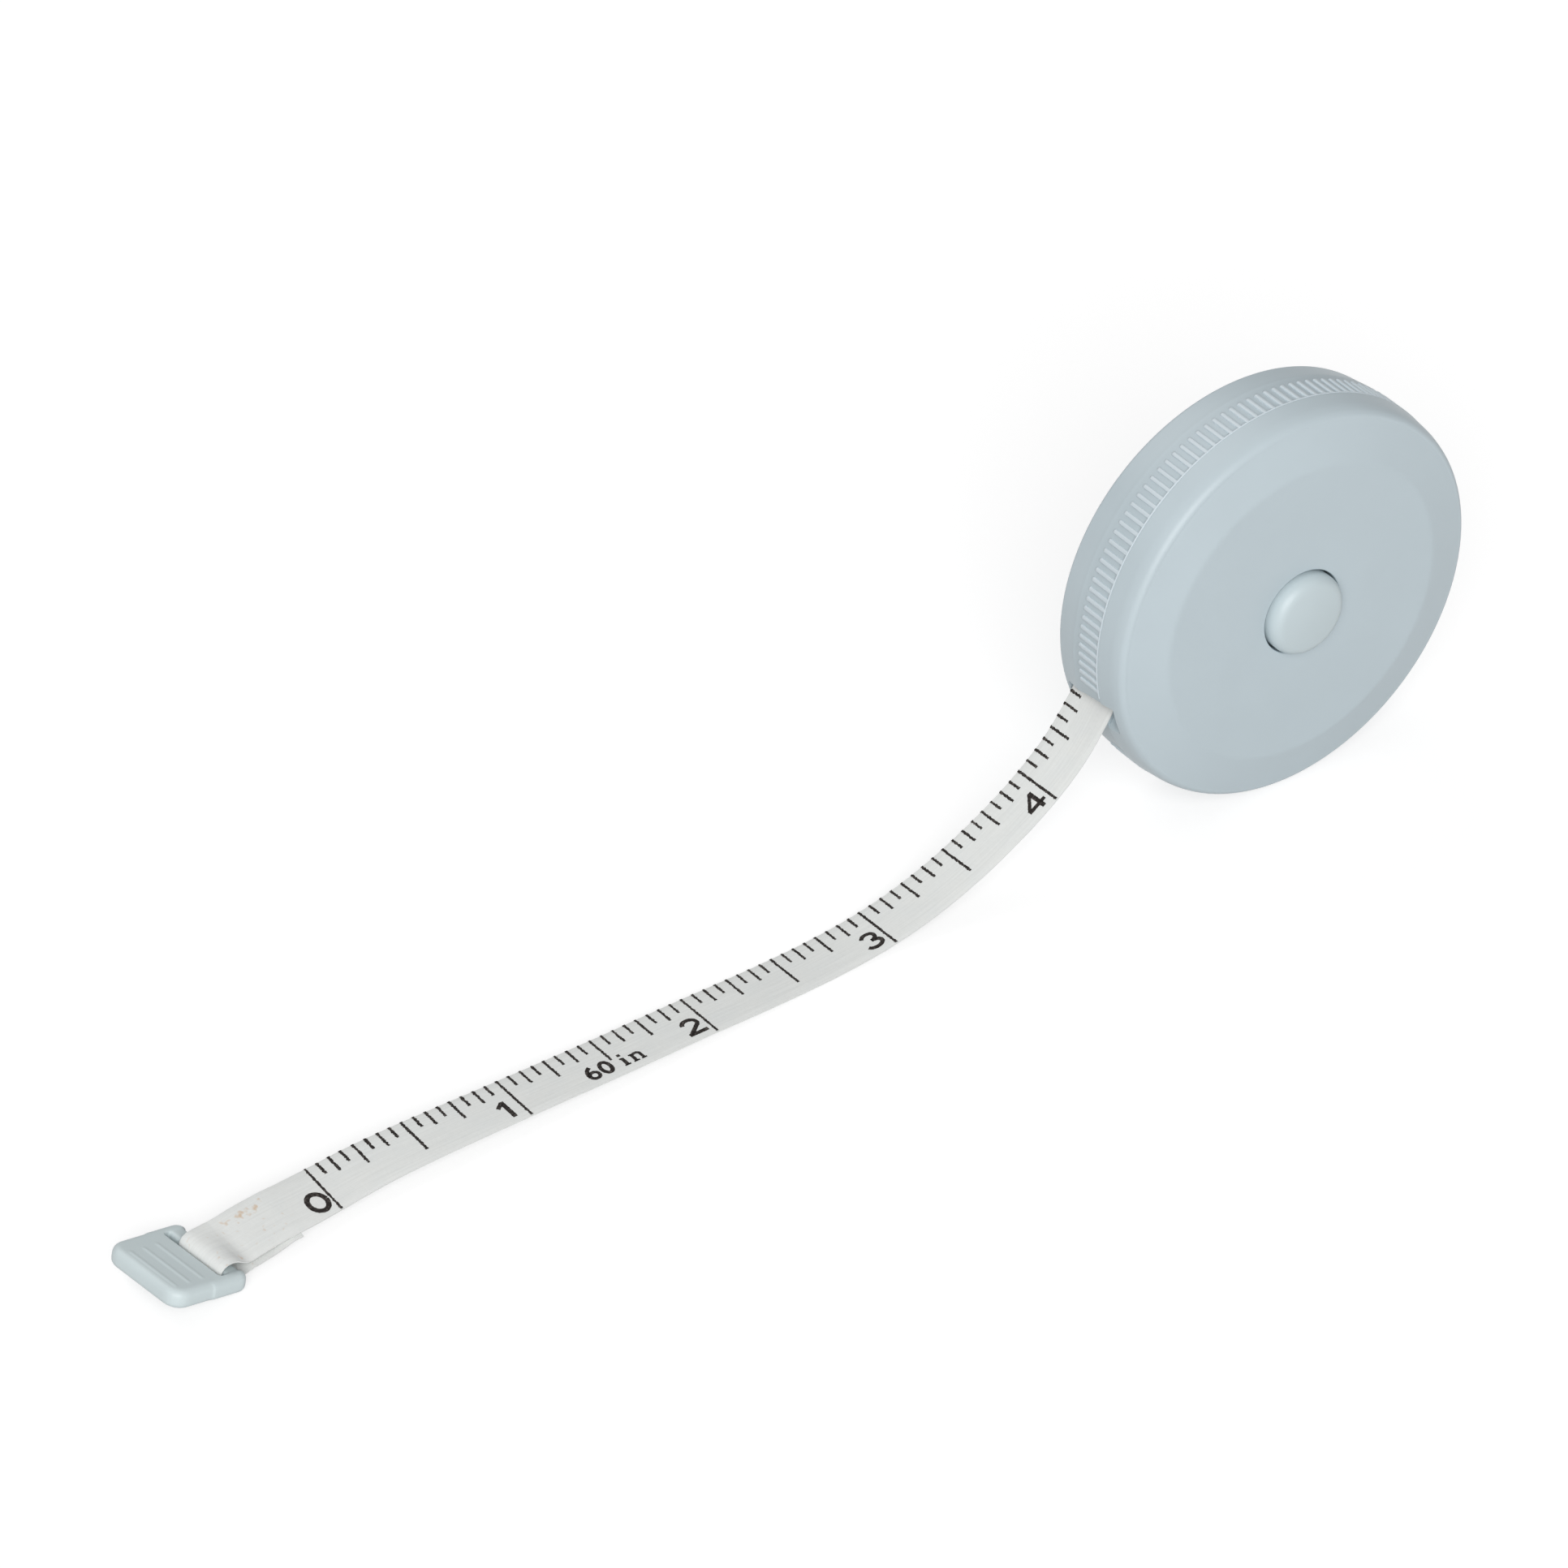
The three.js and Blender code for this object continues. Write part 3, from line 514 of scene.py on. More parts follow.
def respaced(line, spacing):
    """The same line with points at equal distances."""
    reach = [0.0]
    for p, q in zip(line, line[1:]):
        reach.append(reach[-1] + (q - p).length)
    count = max(2, round(reach[-1] / spacing))
    spaced = []
    k = 0
    for i in range(count + 1):
        target = reach[-1] * i / count
        while k < len(line) - 2 and reach[k + 1] < target:
            k += 1
        share = (target - reach[k]) / (reach[k + 1] - reach[k])
        spaced.append(line[k].lerp(line[k + 1], share))
    return spaced


class Strip:
    """A flat strip along a line: where a point of it is, by distance along, across and above."""

    def __init__(self, line, across):
        self.line = line
        self.sides = []
        self.normals = []
        self.reach = [0.0]
        for i, point in enumerate(line):
            ahead = line[min(i + 1, len(line) - 1)] - line[max(i - 1, 0)]
            normal = across[i].cross(ahead).normalized()
            self.normals.append(normal)
            self.sides.append(ahead.cross(normal).normalized())
            if i:
                self.reach.append(self.reach[-1] + (point - line[i - 1]).length)

    def at(self, along, across, above):
        step = self.reach[-1] / (len(self.line) - 1)
        i = min(max(int(along / step), 0), len(self.line) - 2)
        share = along / step - i
        side = self.sides[i].lerp(self.sides[i + 1], share)
        normal = self.normals[i].lerp(self.normals[i + 1], share)
        return self.line[i].lerp(self.line[i + 1], share) + side * across + normal * above


def rolled_strip(points, side, spacing):
    """Strip through points of (place, roll in degrees), its far edge raised by the roll."""
    line = through_points(
        [Vector((*place, math.radians(roll) * MM)) for place, roll in points], spacing)
    across = [side * math.cos(p.w / MM) + UP * math.sin(p.w / MM) for p in line]
    return Strip([p.xyz for p in line], across)


def end_place(x, y, z):
    """A point by millimetres from the tab's bar: along the tape, across it and up."""
    return BAR + (BAR_ALONG * x + BAR_SIDE * y + UP * z) * MM


def free_tape():
    """The free tape, which twists more and more towards the fold."""
    # Degrees at the fold, and millimetres along x
    twist, twist_start, twist_length = 11, -94.2, 43.8
    x, y, z, _ = FOLD_ROUTE[0]
    places = [Vector(point) * MM + TO_BACK * AXIS.y for point in TAPE_ROUTE]
    # The last but one point brings the tape in along the fold's own direction
    places += [end_place(x + 1, y + 0.017, z - 0.083), end_place(x, y, z)]
    points = []
    for place in places:
        twisted = max(0, twist_start - place.x / MM) / twist_length
        points.append((place, twist * twisted ** 2))
    return rolled_strip(points, TO_BACK, 0.5 * MM)


def cloth_strip(name, strip, settings, start=0.0):
    """A strip of cloth with thin, slightly frayed selvedges, and its cloth map in metres along
    and across, where the lower face lies beside the upper one."""
    half = settings.tape.width / 2
    thick = settings.tape.thickness / 2
    columns, selvedge, fray, map_gap = 12, 0.45, 0.015, 20 * MM
    section = []
    for face in (1, -1):
        for i in range(columns + 1):
            edge = face * ((i == columns) - (i == 0))
            above = face * thick * (selvedge if edge else 1)
            section.append((face * (2 * half * i / columns - half), above, edge))
    draw = random.Random(len(strip.line))
    form = bmesh.new()
    cloth_map = form.loops.layers.uv.new("cloth")
    rings = []
    for point, side, normal in zip(strip.line, strip.sides, strip.normals):
        left = draw.uniform(-fray, fray) * MM
        right = draw.uniform(-fray, fray) * MM
        aside = {-1: left, 0: 0, 1: right}
        rings.append([form.verts.new(point + side * (across + aside[edge]) + normal * above)
                      for across, above, edge in section])
    count = len(section)
    for i in range(len(rings) - 1):
        for k in range(count):
            m = (k + 1) % count
            places = ((i, k), (i, m), (i + 1, m), (i + 1, k))
            face = form.faces.new([rings[row][column] for row, column in places])
            for loop, (row, column) in zip(face.loops, places):
                across, above, _ = section[column]
                shift = 0 if above > 0 else map_gap
                loop[cloth_map].uv = (start + strip.reach[row], across + shift)
    form.faces.new(rings[0])
    form.faces.new(rings[-1])
    return new_piece(name, form, cloth_finish(settings), sharp=60)


def ring_stroke(x, y, rx, ry, start=0, end=360, steps=20):
    return [(x + rx * math.cos(math.radians(a)), y + ry * math.sin(math.radians(a)))
            for a in (start + (end - start) * i / steps for i in range(steps + 1))]


# Strokes of the printed figures: points in shares of the height, from the left foot, and a width.
# The two with an s are the slim figures of the whole length
FIGURES = {
    "0": [(ring_stroke(0.44, 0.5, 0.38, 0.44), 0.21)],
    "1": [([(0.05, 0.70), (0.36, 0.95)], 0.17), ([(0.36, 1.0), (0.36, 0.0)], 0.19)],
    "2": [(ring_stroke(0.43, 0.68, 0.31, 0.24, 175, -40) + [(0.10, 0.09)], 0.18),
          ([(0.03, 0.09), (0.86, 0.09)], 0.18)],
    "3": [(ring_stroke(0.40, 0.70, 0.28, 0.21, 165, -90), 0.17),
          (ring_stroke(0.40, 0.29, 0.34, 0.21, 90, -165), 0.18)],
    "4": [([(0.60, 0.0), (0.60, 0.98)], 0.18), ([(0.60, 0.95), (0.03, 0.30)], 0.15),
          ([(0.0, 0.27), (0.86, 0.27)], 0.17)],
    "6s": [(ring_stroke(0.38, 0.30, 0.26, 0.25), 0.2),
           (ring_stroke(0.66, 0.36, 0.56, 0.62, 110, 190, 10), 0.22)],
    "0s": [(ring_stroke(0.36, 0.5, 0.26, 0.43), 0.22)],
    "i": [([(0.22, 0.0), (0.22, 0.62)], 0.20), ([(0.05, 0.05), (0.40, 0.05)], 0.10),
          ([(0.07, 0.60), (0.24, 0.60)], 0.10), ([(0.21, 0.80), (0.21, 0.98)], 0.19)],
    "n": [([(0.20, 0.0), (0.20, 0.62)], 0.19), ([(0.04, 0.05), (0.37, 0.05)], 0.10),
          ([(0.05, 0.60), (0.22, 0.60)], 0.10),
          (ring_stroke(0.42, 0.42, 0.22, 0.18, 160, 0, 8) + [(0.64, 0.0)], 0.17),
          ([(0.50, 0.05), (0.80, 0.05)], 0.10)],
}


class Printing:
    """Printed marks as a thin skin of ink that follows the strip's upper face."""
    spacing = 0.12 * MM

    def __init__(self, strip, lift):
        self.strip = strip
        self.lift = lift
        self.form = bmesh.new()
        self.ragged = random.Random(7)

    def stroke(self, points, width, ragged=0.0):
        """A stroke along points of (distance along, distance across)."""
        line = respaced([Vector((*point, 0)) for point in points], self.spacing)
        rows = []
        for i, point in enumerate(line):
            ahead = line[min(i + 1, len(line) - 1)] - line[max(i - 1, 0)]
            aside = Vector((-ahead.y, ahead.x, 0)).normalized()
            row = []
            for side in (-1, 0, 1):
                wander = side * self.ragged.uniform(-ragged, ragged)
                place = point + aside * (side * width / 2 + wander)
                row.append(self.form.verts.new(self.strip.at(place.x, place.y, self.lift)))
            rows.append(row)
        for low, high in zip(rows, rows[1:]):
            for k in range(2):
                self.form.faces.new((low[k], low[k + 1], high[k + 1], high[k]))

    def figure(self, name, left, foot, height):
        """A figure whose left foot is at (left, foot); left counts along towards the case."""
        for points, width in FIGURES[name]:
            self.stroke(
                [(left - x * height, foot + y * height) for x, y in points],
                width * height, ragged=0.025 * MM)


class TAPEMEASURE_OT_stage(bpy.types.Operator):
    """Camera, pale floor and soft light"""
    bl_idname = "tape_measure.stage"
    bl_label = "Stage"

    def execute(self, context):
        settings = context.scene.tape_measure.stage
        self.camera(context.scene)
        floor = bmesh.new()
        bmesh.ops.create_circle(
            floor, cap_ends=True, segments=64, radius=settings.floor_size)
        sweep = new_piece("floor", floor, finish_named(
            "Matt paper sweep", studio_floor, tuple(settings.floor_colour), settings.floor_glow))
        self.light(context.scene, settings)
        context.scene.view_settings.view_transform = "Standard"
        return {"FINISHED"}

    def camera(self, scene):
        """Stands where the photograph was taken from, with a long lens and a slight roll."""
        place = Vector((-463.71, -572.835, 549.90)) * MM
        azimuth, elevation, roll = (math.radians(a) for a in (-34.645, 36.913, -1.012))
        focal_pixels, photo_pixels = 9695.4, 1932
        back = Vector((
            math.sin(azimuth) * math.cos(elevation), -math.cos(azimuth) * math.cos(elevation),
            math.sin(elevation)))
        right = Vector((math.cos(azimuth), math.sin(azimuth), 0))
        up = back.cross(right)
        x = right * math.cos(roll) + up * math.sin(roll)
        y = up * math.cos(roll) - right * math.sin(roll)
        turn = Matrix((x, y, back)).transposed().to_4x4()
        lens = bpy.data.cameras.new("camera")
        lens.sensor_width = 36
        lens.lens = focal_pixels * lens.sensor_width / photo_pixels
        lens.clip_start = 0.01
        lens.clip_end = 50
        camera = bpy.data.objects.new("camera", lens)
        camera.matrix_world = Matrix.Translation(place) @ turn
        scene.collection.objects.link(camera)
        scene.camera = camera

    def light(self, scene, settings):
        """An even sky, white to the eye, a large lamp at the front left and a weaker one behind."""
        aim = Vector((-0.06, 0, 0.015))
        lamps = (
            ("key", settings.key, Vector((-1.14, -1.67, 1.16))),
            ("fill", settings.fill, Vector((-0.06, 1.63, 1.64))))
        world = bpy.data.worlds.new("studio")
        scene.world = world
        world.use_nodes = True
        tree = world.node_tree
        tree.nodes.clear()
        ray = add_node(tree, "ShaderNodeLightPath")
        strength = add_node(tree, "ShaderNodeMapRange", {
            "Value": ray.outputs["Is Camera Ray"], "To Min": settings.sky, "To Max": 1.0})
        sky = add_node(tree, "ShaderNodeBackground", {"Color": (1, 1, 1, 1), "Strength": strength})
        add_node(tree, "ShaderNodeOutputWorld", {"Surface": sky})
        for name, power, place in lamps:
            lamp = bpy.data.lights.new(name, "AREA")
            lamp.shape = "DISK"
            lamp.size = 2.0
            lamp.energy = power
            stand = bpy.data.objects.new(name, lamp)
            turn = (aim - place).to_track_quat("-Z", "Y").to_matrix().to_4x4()
            stand.matrix_world = Matrix.Translation(place) @ turn
            stand.visible_camera = False
            scene.collection.objects.link(stand)


class TAPEMEASURE_OT_tape(bpy.types.Operator):
    """Free tape from the slot to the fold, its lead inside the case and its printed marks"""
    bl_idname = "tape_measure.tape"
    bl_label = "Tape"

    def execute(self, context):
        settings = context.scene.tape_measure
        strip = free_tape()
        tape = cloth_strip("tape", strip, settings)
        marks = self.printing(strip, settings)
        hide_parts("tape_free")
        for piece in (tape, marks):
            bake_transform(piece)
        self.lead(settings)
        return {"FINISHED"}

    def printing(self, strip, settings):
        """Sixteenths of an inch along the far edge, with a number before each inch and the whole
        length after the first."""
        half = settings.tape.width / 2
        height = settings.tape.number_height
        marks = Printing(strip, settings.tape.thickness / 2 + 0.02 * MM)
        zero = next(
            strip.reach[i] for i, point in enumerate(strip.line) if point.x < ZERO_MARK_X)
        # Share of the width that a mark crosses, by the number that its sixteenths divide by
        shares = {16: 0.99, 8: 0.745, 4: 0.477, 2: 0.35, 1: 0.272}
        beside_length, beside_share = 24, 0.61
        for sixteenth in range(72):
            along = zero - sixteenth * INCH / 16
            if along < 0.5 * MM:
                break
            share = next(shares[rank] for rank in shares if sixteenth % rank == 0)
            if sixteenth == beside_length:
                share = beside_share
            # The first marks lean, and those of the first inch are a little bolder
            lean = 0.6 * MM * share * max(0, 1 - sixteenth / 6)
            bold = 1.12 if 0 < sixteenth < 16 else 1
            marks.stroke(
                [(along, half * 0.995), (along + lean, half - 2 * half * share)],
                settings.tape.mark_width * bold, ragged=0.06 * MM * bold ** 2)
        # Millimetres from an inch mark to the left foot of its number, and to the whole length
        numbers = (("0", 3.5), ("1", 2.75), ("2", 3.2), ("3", 3.1), ("4", 3.2))
        for inch, (figure, left) in enumerate(numbers):
            marks.figure(figure, zero - inch * INCH + left * MM, -half + 0.78 * MM, height)
        for figure, left in (("6s", 8.75), ("0s", 10.6), ("i", 13.25), ("n", 14.5)):
            marks.figure(figure, zero - INCH - left * MM, -half + 0.95 * MM, 0.76 * height)
        return new_piece("tape_marks", marks.form, finish_named(
            "Printing ink", printing_ink, tuple(settings.tape.ink)))

    def lead(self, settings):
        """The tape's straight run from the roll to just inside the rim."""
        end_radius, steps = 24.0 * MM, 16
        reach = math.sqrt(end_radius ** 2 - LEAD_RADIUS ** 2)
        line = [LEAD_START + LEAD_ALONG * reach * i / steps for i in range(steps + 1)]
        strip = Strip(line, [TO_BACK] * len(line))
        lead = cloth_strip("tape_in_slot", strip, settings, start=-strip.reach[-1])
        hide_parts("tape_lead")
        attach(lead, "case")


class TAPEMEASURE_OT_tape_end(bpy.types.Operator):
    """Tape end folded round the tab's bar and sealed under the tape"""
    bl_idname = "tape_measure.tape_end"
    bl_label = "Folded tape end"

    def execute(self, context):
        settings = context.scene.tape_measure
        points = [(end_place(x, y, z), roll) for x, y, z, roll in FOLD_ROUTE]
        strip = rolled_strip(points, BAR_SIDE, 0.16 * MM)
        start = free_tape().reach[-1]
        piece = cloth_strip("tape_fold", strip, settings, start)
        # Heat marks lie near the start of the fold, towards its far edge
        piece.data.materials[0] = finish_named(
            "Heat-sealed woven cloth", coated_cloth, tuple(settings.tape.colour),
            settings.tape.thread, (start + 4.3 * MM, 2.1 * MM))
        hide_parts("tape_end_loop")
        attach(piece, "tape_end")
        return {"FINISHED"}


class TAPEMEASURE_OT_case(bpy.types.Operator):
    """Two moulded halves of the case, with the ribbed waist and the slot"""
    bl_idname = "tape_measure.case"
    bl_label = "Case"
    segments = 256
    sharp = 32

    def execute(self, context):
        settings = context.scene.tape_measure
        colour = tuple(settings.case.colour)
        front = new_piece(
            "case_front", revolve(self.front_outline(settings.case), self.segments, -1),
            finish_named("Moulded styrene case", moulded_plastic, colour, SATIN), sharp=self.sharp)
        # Painted shade lies along the waist, between and behind the ribs, and fades out on the band
        # behind it
        dust_and_painted_shade = [AXIS.y + y * MM for y in (-2.9, 1.0, 2.7)]
        back = new_piece(
            "case_back", revolve(self.back_outline(settings.case), self.segments, 1),
            finish_named("Moulded styrene case with painted shade", moulded_plastic, colour, SATIN, dust_and_painted_shade),
            sharp=self.sharp)
        # Room round the tape: beside it, above its near edge, above its far edge and below it
        for half, *room in ((front, 1.25, 1.55, 1.55, 1.5), (back, 0.6, 1.6, 0.5, 1.05)):
            block = self.slot_block(settings, *(size * MM for size in room))
            combine(half, block, "DIFFERENCE", self.sharp)
        # The ribs and their lip take a paler colour than the case: a painted highlight for the
        # light that they catch
        ribs = new_piece("waist_ribs", self.ribs(settings.case), finish_named(
            "Styrene ribs with painted highlight", moulded_plastic, tuple(settings.case.rib_colour_with_painted_highlight), SATIN),
            sharp=60)
        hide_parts("front_shell")
        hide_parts("back_shell")
        for piece in (front, back, ribs):
            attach(piece, "case")
        return {"FINISHED"}

    def outer_face(self, settings, face, middle, end, *bends):
        """Flat face, soft crease, slope and bead, down to the rim. The bead turns round its
        middle to an end angle, and on in gentler bends of (radius, start, end), in millimetres
        and degrees."""
        radius = settings.bead_radius
        middle = Vector(middle)
        bead = arc(*middle, radius, 88, end, 16)
        for bend, start, end in bends:
            turn = math.radians(start)
            middle -= (bend * MM - radius) * Vector((math.cos(turn), math.sin(turn)))
            radius = bend * MM
            bead += arc(*middle, radius, start, end, 8)[1:]
        slope = rounded([
            (0, face, 0), (settings.face_radius, face, settings.crease_radius),
            (*bead[0], 0.3 * MM), (*bead[3], 0)], steps=8)
        # Rings beside the slope's ends keep it flat under smooth shading
        crease, foot = slope[:10], slope[10:-1]
        ring = [crease[-1].lerp(foot[0], share) for share in (0.02, 0.5, 0.98)]
        return crease[1:] + ring + foot + bead[4:]

    def front_outline(self, settings):
        """Section of the front half: the button's hole, face, bead and rim, then the inside."""
        rim = settings.crown / MM - 0.05
        face = (FRONT_FACE + settings.face_lift) / MM
        hole = rounded(in_metres(
            (6.4, 6.41, 0), (6.4, 4.9, 0), (5.4, 4.9, 0.1), (5.4, face, 0.16), (9, face, 0)))
        band = rounded(in_metres(
            (rim - 0.05, 3.2, 0), (rim, 2.7, 0.05), (23.5, 2.7, 0), (23.5, 0.9, 0),
            (22.55, 0.9, 0), (22.55, 5.15, 0), (19.3, 6.41, 0), (6.4, 6.41, 0)))
        middle = (AXIS.z - 1.107 * MM, FRONT_FACE - 1.827 * MM)
        bead = self.outer_face(settings, face * MM, middle, 50, (1.3, 50, 20), (5.0, 20, 5))
        return hole + bead + band

    def back_outline(self, settings):
        """Section of the back half: face, bead, band and waist, then the inside with its post."""
        crown = settings.crown / MM
        waist = crown - settings.waist_depth / MM
        band = rounded(in_metres(
            (crown - 0.25, 2.7, 0), (crown - 0.14, 1.9, 1.5), (waist, 0.8, 1.5),
            (waist, -2.67, 0.05), (23.7, -2.67, 0), (23.7, 4.0, 0), (19.3, 5.3, 0), (4.5, 5.3, 0),
            (4.5, 4.87, 0), (3.2, 4.87, 0), (3.2, -0.36, 0), (2.2, -0.36, 0), (2.2, 4.8, 0),
            (0, 4.8, 0)))
        middle = (AXIS.z - 0.965 * MM, 4.61 * MM)
        bead = self.outer_face(settings, BACK_FACE, middle, 8)
        return [Vector((0, BACK_FACE))] + bead + band

    def slot_block(self, settings, aside, near, far, below):
        """Block with eased corners along the tape's way out, which leaves the slot; it clears the
        tape by the distances given: beside it, above its near and far edges and below it."""
        wide = settings.tape.width / 2 + aside
        low_corner, high_corner = 0.35 * MM, 0.2 * MM
        outline = rounded([
            (-below, -wide, low_corner), (near, -wide, high_corner),
            (far, wide, high_corner), (-below, wide, low_corner)], closed=True)
        rings = []
        for along in (13 * MM, 24 * MM):
            middle = LEAD_START + LEAD_ALONG * along
            rings.append([middle + LEAD_OUT * p.x + TO_BACK * p.y for p in outline])
        return new_piece("slot_block", skin(bmesh.new(), rings))

    def ribs(self, settings):
        """Ribs along the waist, rounded on top and at their back ends, and the lip at the joint."""
        form = bmesh.new()
        sunk, end_fall = 0.05 * MM, 0.15 * MM
        foot = settings.crown - settings.waist_depth - sunk
        rise = settings.crown - foot
        half = settings.rib_width / 2
        # The stretch round the slot is bare
        exit_angle = LEAD_ANGLE + math.acos(LEAD_RADIUS / AXIS.z)
        bare = (exit_angle - math.radians(6), exit_angle + math.radians(17))
        section = [(-1.0, 0.0), (-0.95, 0.6), (-0.82, 0.86), (-0.6, 0.97), (0, 1.0), (0.6, 0.97),
                   (0.82, 0.86), (0.95, 0.6), (1.0, 0.0)]
        # Places along the rib in millimetres, with the share of its width there
        rows = [(-2.62, 1.0)]
        for step in range(7):
            turn = math.radians(step * 14)
            rows.append((0.67 + 0.21 * math.sin(turn), math.cos(turn)))
        for i in range(settings.rib_count):
            angle = 2 * math.pi * i / settings.rib_count
            if bare[0] < angle < bare[1]:
                continue
            loops = []
            for y, narrow in rows:
                height = rise - (1 - narrow) * end_fall
                loops.append([self.rim_point(
                    angle, across * half * narrow, foot + height * up, y * MM)
                    for across, up in section])
            skin(form, loops, around=False)
        lip = [(0.12 * across - 2.58, 0.95 * up) for across, up in section]
        steps = 240
        turns = [bare[1] + (2 * math.pi + bare[0] - bare[1]) * i / steps for i in range(steps + 1)]
        skin(form, [
            [self.rim_point(turn, 0, foot + rise * up, y * MM) for y, up in lip]
            for turn in turns], around=False)
        return form

    def rim_point(self, angle, aside, radius, y):
        """A point by its angle round the axis, distances aside and out, and place along it;
        flat where the case stands."""
        out = Vector((math.cos(angle), 0, math.sin(angle)))
        point = AXIS + TO_BACK * y + out * radius + Vector((-out.z, 0, out.x)) * aside
        point.z = max(point.z, 0)
        return point


class TAPEMEASURE_OT_button(bpy.types.Operator):
    """Release button with a soft shoulder and a slightly domed top"""
    bl_idname = "tape_measure.button"
    bl_label = "Button"

    def execute(self, context):
        settings = context.scene.tape_measure.button
        radius, shoulder, crown = settings.radius, settings.shoulder, settings.crown
        top = BUTTON_TOP + settings.lift
        # The shoulder starts at the slope with which the dome ends
        lean = math.atan(2 * crown / (radius - shoulder))
        dome = radius - shoulder + shoulder * math.sin(lean)
        steps = 12
        outline = [
            Vector((dome * i / steps, top - crown * (i / steps) ** 2)) for i in range(steps)]
        outline += arc(
            radius - shoulder, top - crown - shoulder * math.cos(lean), shoulder,
            90 - math.degrees(lean), 0, steps)
        side = radius / MM
        outline += rounded(in_metres(
            (side, 6, 0), (side, 2.62, 0.2), (9, 2.62, 0.15), (9, 1.72, 0.15), (1.8, 1.72, 0.1),
            (1.8, -0.78, 0.15), (0, -0.78, 0)))
        button = new_piece("push_button", revolve(outline, 160, -1), finish_named(
            "Moulded styrene button", moulded_plastic, tuple(settings.colour), 0.38))
        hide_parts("button")
        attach(button, "push_button")
        return {"FINISHED"}


class TAPEMEASURE_OT_pull_tab(bpy.types.Operator):
    """Pull tab with a ridged grip, a slot and the bar that the tape goes round"""
    bl_idname = "tape_measure.pull_tab"
    bl_label = "Pull tab"
    # In millimetres from the bar: the slot's wall, the plate's top and the ridges' middle
    slot_wall = -1.95
    top = 0.77
    ridges = -5.8
    sharp = 40

    def execute(self, context):
        settings = context.scene.tape_measure.tab
        plastic = finish_named(
            "Moulded styrene tab", moulded_plastic, tuple(settings.colour), 0.45)
        tab = new_piece("pull_tab_body", self.plate(settings), plastic, sharp=self.sharp)
        combine(tab, new_piece("window_block", self.window()), "DIFFERENCE", self.sharp)
        combine(tab, new_piece("bar_round", self.bar(), plastic), "UNION", self.sharp)
        for i in (-1, 0, 1):
            ridge = self.ridge(self.ridges + i * settings.ridge_pitch / MM)
            combine(tab, new_piece("ridge_round", ridge, plastic), "UNION", self.sharp)
        self.melt(tab)
        tab.data.transform(self.place())
        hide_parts("pull_tab")
        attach(tab, "tab")
        return {"FINISHED"}

    def outline(self, inset, settings):
        """Plan of the plate, a hair wider beside the slot than at the grip."""
        back = self.slot_wall - settings.grip / MM + inset
        front = 1.509 - inset
        grip = 6.08 - inset
        nose = 6.2 - inset
        back_corner = max(0.2, settings.corner / MM - inset)
        front_corner = max(0.2, 1.3 - inset)
        grip_end, nose_end, ease = -3.65, -3.45, 0.05
        return rounded([
            (back, -grip, back_corner), (grip_end, -grip, ease), (nose_end, -nose, ease),
            (front, -nose, front_corner), (front, nose, front_corner),
            (nose_end, nose, ease), (grip_end, grip, ease), (back, grip, back_corner)],
            closed=True, steps=6)

    def plate(self, settings):
        """The plate, from its underside up to its rounded top edge, by inset and height."""
        edge = settings.edge / MM
        levels = [(0.6, -1.4), (0.35, -1.34), (0.18, -1.22), (0.05, -1.0), (0.0, -0.8)]
        for a in range(0, 91, 15):
            turn = math.radians(a)
            levels.append((edge - edge * math.cos(turn), self.top - edge + edge * math.sin(turn)))
        return skin(bmesh.new(), [
            [Vector((p.x, p.y, height)) for p in self.outline(inset, settings)]
            for inset, height in levels])

    def window(self):
        """Block that leaves the slot, open towards the tape."""
        wall, half, front, corner = self.slot_wall, 4.86, 3.0, 0.35
        outline = rounded([
            (wall, -half, corner), (front, -half, 0), (front, half, 0), (wall, half, corner)],
            closed=True)
        return skin(bmesh.new(), [[Vector((p.x, p.y, z)) for p in outline] for z in (-3.0, 3.0)])

    def bar(self):
        """Bar with rounded edges across the slot."""
        wide, high, corner = 1.02, 0.72, 0.5
        outline = rounded([
            (-wide, -high, corner), (wide, -high, corner), (wide, high, corner),
            (-wide, high, corner)], closed=True)
        return skin(bmesh.new(), [[Vector((p.x, y, p.y)) for p in outline] for y in (-5.4, 5.4)])

    def ridge(self, x):
        """Round ridge with rounded ends, a little proud of the plate's top."""
        round_radius, proud, shift, half = 0.34, 0.09, -0.5, 3.8
        rings = []
        for k in range(-6, 7):
            turn = math.radians(15 * k)
            radius = round_radius * max(0.2, math.cos(turn))
            middle = shift + half * ((k > 0) - (k < 0)) + 0.3 * math.sin(turn)
            section = arc(x, self.top + proud - round_radius, radius, 0, 345, 23)
            rings.append([Vector((p.x, middle, p.y)) for p in section])
        return skin(bmesh.new(), rings)

    def melt(self, tab):
        """Rounds every edge a little, as in a mould."""
        remesh = tab.modifiers.new("remesh", "REMESH")
        remesh.mode = "VOXEL"
        remesh.voxel_size = 0.11
        smooth = tab.modifiers.new("smooth", "SMOOTH")
        smooth.factor = 0.5
        smooth.iterations = 6
        apply_modifiers(tab, 80)

    def place(self):
        """From the tab's own millimetres, with its bar at the middle, to its tilted place, a
        little aside from the tape."""
        turn = Matrix((BAR_ALONG, BAR_SIDE, UP)).transposed().to_4x4()
        tilt = Matrix.Rotation(math.radians(15), 4, "Y")
        aside = 0.93 * MM
        middle = Matrix.Translation(BAR + BAR_SIDE * aside)
        return middle @ turn @ tilt @ Matrix.Scale(MM, 4)


